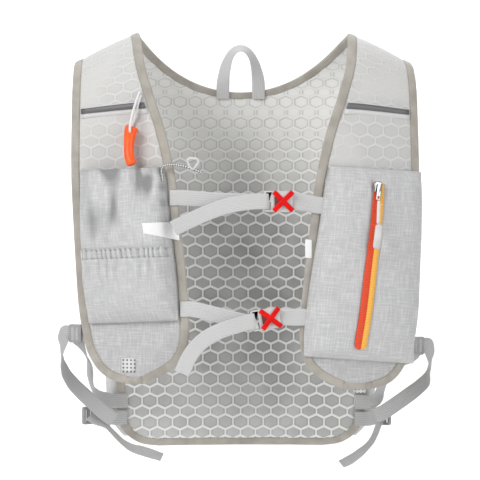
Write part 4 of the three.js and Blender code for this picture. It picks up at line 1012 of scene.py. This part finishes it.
plated, plated_tree, plated_shader = start_material("plated_metal", (0.42, 0.42, 0.43), 0.2, Metallic=1.0)
cloudy = between(plated_tree, object_noise(plated_tree, 500), 0.3, 0.7, 0.12, 0.3)
plated_tree.links.new(cloudy, plated_shader.inputs["Roughness"])
zip_pieces = (
    rounded_copy("zip_slider", "zip_slider_body", plated, 0.5),
    rounded_copy("zip_tongue", "zip_tongue_plate", plated, 0.3),
    sewn_copy("zip_pull_cord", "zip_pull_braid", white_braid, 1, 0.3),
    rounded_copy("zip_grip", "zip_grip_moulding", pale_plastic, 0.6),
)
for piece in zip_pieces:
    for vert in piece.data.vertices:
        vert.co.x -= 3 * MM


# Shoulder tapes: pale woven tape across each shoulder strap, with a dark reflective band along its upper
# part. Both are sewn flat to the cloth.
def band_material(name, pale, deep, roughness, metallic=0.0):
    material, tree, shader = start_material(name, pale, roughness, Metallic=metallic)
    weave = object_noise(tree, 900, 2)
    tree.links.new(mix_colours(tree, weave, deep, pale), shader.inputs["Base Color"])
    raise_surface(tree, shader, weave, 0.35, 0.2)
    return material


pale_tape = band_material("pale_tape", (0.72, 0.72, 0.715), (0.6, 0.6, 0.6), 0.8)
reflective = band_material("reflective_band", (0.165, 0.165, 0.168), (0.115, 0.115, 0.12), 0.5, 0.2)
for side in ("right", "left"):
    sewn_copy("strap_tape_" + side, "strap_tape_weave_" + side, pale_tape, 1)
    sewn_copy(
        "reflective_strip_" + side, "reflective_band_" + side, reflective, 1
    )


# Grab loop: smooth woven polyester webbing, sewn to the back under the neck. Each length of webbing follows
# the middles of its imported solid's sections, smoothed, and its edges are rounded.
def webbing_material(name, pale, deep):
    material, tree, shader = start_material(name, pale, 0.7, Sheen_Weight=0.2)
    across, along = cloth_measure(tree)
    warp = sum_of(tree, "SINE", sum_of(tree, "MULTIPLY", across, 2.9))
    weft = sum_of(tree, "SINE", sum_of(tree, "MULTIPLY", along, 4.6))
    weave = sum_of(tree, "ADD", sum_of(tree, "MULTIPLY", warp, 0.9), sum_of(tree, "MULTIPLY", weft, 0.1))
    share = between(tree, weave, -0.8, 0.8)
    selvedge = between(tree, sum_of(tree, "ABSOLUTE", across), 6.0, 6.9)
    colour = mix_colours(tree, share, deep, pale)
    colour = mix_colours(tree, sum_of(tree, "MULTIPLY", selvedge, 0.35), colour, deep)
    tree.links.new(colour, shader.inputs["Base Color"])
    raise_surface(tree, shader, weave, 0.4, 0.3)
    return material


def packed_route(node, towards):
    """The middle of each section of a packed webbing, in mm, and the way its face looks there."""
    bm = packed_copy(node)
    bm.verts.index_update()
    ends = {vert for vert in bm.verts if len(vert.link_edges) < 6}
    section = {min(ends, key=lambda vert: vert.co.dot(towards))}
    while len(section) < 4:
        section |= {edge.other_vert(vert) for vert in section for edge in vert.link_edges} & ends
    met = set(section)
    route = []
    face = Vector((0, -1, 0))
    while section:
        corners = [vert.co for vert in sorted(section, key=lambda vert: vert.index)]
        sides = [a - b for k, a in enumerate(corners) for b in corners[:k]]
        through = min(sides, key=lambda side: side.length).normalized()
        face = through if through.dot(face) > 0 else -through
        route.append((sum(corners, Vector()) / len(corners) / MM, face))
        section = {edge.other_vert(vert) for vert in section for edge in vert.link_edges} - met
        met |= section
    bm.free()
    return route


def lay_webbing(name, node, material, width, wall, route, slot):
    points = smooth_line([point for point, face in route], 3)
    faces = smooth_line([face for point, face in route], 3)
    last = len(points) - 1
    lengths = [line_length(points[: k + 1]) for k in range(last + 1)]

    def section(u):
        turn = 2 * math.pi * u
        return 0.5 * width * squared(math.cos(turn), 0.5), 0.5 * wall * squared(math.sin(turn), 0.5)

    def place(u, v):
        k = round(v * last)
        ahead = (points[min(k + 1, last)] - points[max(k - 1, 0)]).normalized()
        over = ahead.cross(faces[k]).normalized()
        across, out = section(u)
        return points[k] + over * across + over.cross(ahead) * out

    bm = bmesh.new()
    lay_grid(bm, 20, last, place, lambda u, v: (section(u)[0], lengths[round(v * last)]))
    close_tube(bm)
    piece = finished_piece(name, bm, material, [node])
    piece.data.set_sharp_from_angle(angle=math.radians(60))


webbing_wall = 1.4
pale_webbing = webbing_material("pale_webbing", (0.54, 0.54, 0.54), (0.5, 0.5, 0.5))
loop_route = packed_route("grab_loop", Vector((1, 0, 0)))
lay_webbing("grab_loop_webbing", "grab_loop", pale_webbing, 13.5, webbing_wall, loop_route, "pale_webbing")

# Chest straps: webbing sewn to the right panel's edge, passed round the buckle's bar and hanging back as a
# free tail, with a ribbed elastic end on the left panel, which is sewn on a little lower than it is packed.
webbing_width = 15
for level in ("upper", "lower"):
    node = "chest_strap_" + level
    route = packed_route(node, Vector((0, -1, 0)))
    name = "chest_webbing_" + level
    lay_webbing(name, node, pale_webbing, webbing_width, webbing_wall, route, "pale_webbing")
for level, fall in (("upper", 7.4), ("lower", 8.1)):
    node = "chest_elastic_" + level
    route = packed_route(node, Vector((1, 0, 0)))
    buckle_end = route[0][0].x
    sewn_end = route[-1][0].x
    for point, face in route:
        point += Vector((1.5, 0, -fall)) * ease(point.x, buckle_end + 6, sewn_end - 4)
    lay_webbing("chest_elastic_band_" + level, node, pale_webbing, 16.5, 2, route, "pale_webbing")

# Buckles: a pale moulded body with a slot for the webbing, and a red cross clipped over its front. A thin
# dark red sheet between the cross's arms on one side is painted shade in the recess there.
red_plastic = moulded_plastic("red_plastic", (0.78, 0.006, 0.004), (0.6, 0.004, 0.003), 0.32)
red_plastic.node_tree.nodes["Principled BSDF"].inputs["Specular IOR Level"].default_value = 0.2
# Painted shade: the dark red of the sheet in the recess between the cross's arms.
painted_recess_shade = moulded_plastic("painted_recess_shade_plastic", (0.16, 0.03, 0.025), (0.1, 0.02, 0.018), 0.5)
for level, lean in (("upper", 0), ("lower", -9)):
    body = "buckle_body_"
    rounded_copy(body + level, body + "moulding_" + level, pale_plastic, 0.5)
    corners = [vert.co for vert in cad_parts["buckle_cross_" + level].data.vertices]
    low_corner = Vector([min(corner[k] for corner in corners) for k in range(3)])
    high_corner = Vector([max(corner[k] for corner in corners) for k in range(3)])
    middle = (low_corner + high_corner) / 2
    depth = high_corner.y - low_corner.y
    cross = bmesh.new()
    for angle, front in ((45, 0), (-45, 0.25)):
        bar = bmesh.ops.create_cube(cross, size=1)["verts"]
        bmesh.ops.scale(cross, verts=bar, vec=(26 * MM, depth, 4.9 * MM))
        bmesh.ops.translate(cross, verts=bar, vec=(0, -front * MM, 0))
        turn = Matrix.Rotation(math.radians(angle + lean), 3, "Y")
        bmesh.ops.rotate(cross, verts=bar, cent=(0, 0, 0), matrix=turn)
    bmesh.ops.bevel(
        cross, geom=cross.edges[:], offset=1.1 * MM, segments=3, affect="EDGES", profile=0.6, material=-1
    )
    bmesh.ops.translate(cross, verts=cross.verts, vec=middle)
    # Painted shade: a thin dark red triangle stands for the shade in the recess between the cross's arms.
    recess = bmesh.new()
    recess_reach = 6.2 * MM
    wedge = bmesh.ops.create_cone(
        recess, cap_ends=True, segments=3, radius1=recess_reach, radius2=recess_reach, depth=1 * MM
    )["verts"]
    stand = Matrix.Rotation(math.radians(lean), 3, "Y") @ Matrix.Rotation(math.radians(90), 3, "X")
    point_right = Matrix.Rotation(math.radians(-90), 3, "Z")
    bmesh.ops.rotate(recess, verts=wedge, cent=(0, 0, 0), matrix=stand @ point_right)
    bmesh.ops.translate(recess, verts=wedge, vec=middle + Vector((-5.4 * MM, 0.1 * depth, 0)))
    node = "buckle_cross_" + level
    for piece in (
        finished_piece("buckle_cross_moulding_" + level, cross, red_plastic, [node]),
        finished_piece("buckle_recess_shade_" + level, recess, painted_recess_shade, []),
    ):
        piece.data.set_sharp_from_angle(angle=math.radians(40))

# Side straps: grey webbing sewn inside the back's edge, up to a ladder lock on the front panel, down in a bow
# to a second lock at the back, and on as a hanging tail. Short tapes carry the locks.
strap_webbing = webbing_material("strap_webbing", (0.45, 0.45, 0.45), (0.38, 0.38, 0.38))
over_lock = ((-10.9, -4.5), (-8.6, -5.3), (-3.3, -2.6))
for side, out in (("right", -1), ("left", 1)):
    for name, towards in (
        ("side_strap_", Vector((0, -1, 0))),
        ("side_tail_front_", Vector((0, 1, 0))),
        ("side_tail_rear_", Vector((0, 0, -1))),
        ("lock_tape_rear_", Vector((0, -1, 0))),
    ):
        node = name + side
        route = packed_route(node, towards)
        if name == "side_tail_front_":
            start, face = route[0]
            route = [(start + Vector((out * x, y, 0)), face) for x, y in over_lock] + route
        sizes = (webbing_width, webbing_wall)
        lay_webbing(node + "_webbing", node, strap_webbing, *sizes, route, "strap_webbing")
lock_plastic = moulded_plastic("lock_plastic", (0.34, 0.34, 0.34), (0.27, 0.27, 0.27), 0.4)
for side in ("right", "left"):
    for end in ("front", "rear"):
        place = end + "_" + side
        rounded_copy("side_lock_" + place, "side_lock_moulding_" + place, lock_plastic, 0.5)

# Tabs: short lengths of white tape, folded over the panels' edges or sewn flat. The two at the panels'
# bottoms are perforated. The left label tab is sewn lower than it is packed, and the right one tapers.
white_tape = band_material("white_tape", (0.86, 0.86, 0.86), (0.76, 0.76, 0.76), 0.65)
holed_tape = band_material("holed_tape", (0.7, 0.7, 0.7), (0.6, 0.6, 0.6), 0.65)
holes_tree = holed_tape.node_tree
holes_shader = holes_tree.nodes["Principled BSDF"]
dots = holes_tree.nodes.new("ShaderNodeTexVoronoi")
dots.inputs["Scale"].default_value = 270
dots.inputs["Randomness"].default_value = 0
spots = holes_tree.nodes.new("ShaderNodeTexCoord")
flat_spots = add_node(
    holes_tree, "ShaderNodeVectorMath", spots.outputs["Object"], (1, 0, 1), operation="MULTIPLY"
)
holes_tree.links.new(flat_spots, dots.inputs["Vector"])
hole_share = between(holes_tree, dots.outputs["Distance"], 0.2, 0.3, 1, 0)
tape_before = holes_shader.inputs["Base Color"].links[0].from_socket
holed_colour = mix_colours(holes_tree, hole_share, tape_before, (0.12, 0.12, 0.12))
holes_tree.links.new(holed_colour, holes_shader.inputs["Base Color"])
for side in ("right", "left"):
    label = sewn_copy("label_tab_" + side, "label_tab_tape_" + side, white_tape, 2, 0.9)
    left_edge = min(vert.co.x for vert in label.data.vertices)
    right_edge = max(vert.co.x for vert in label.data.vertices)
    level = sum(vert.co.z for vert in label.data.vertices) / len(label.data.vertices)
    for vert in label.data.vertices:
        across = (right_edge - vert.co.x) / (right_edge - left_edge)
        if side == "left":
            vert.co += Vector((-4 * MM, 0, -16 * MM - 5 * MM * (1 - across)))
        elif vert.co.z < level:
            vert.co.z += 8 * MM * across
    sewn_copy("lock_tape_front_" + side, "lock_tape_fold_" + side, white_tape, 1)
    sewn_copy("drain_tab_" + side, "drain_tab_tape_" + side, holed_tape, 1)
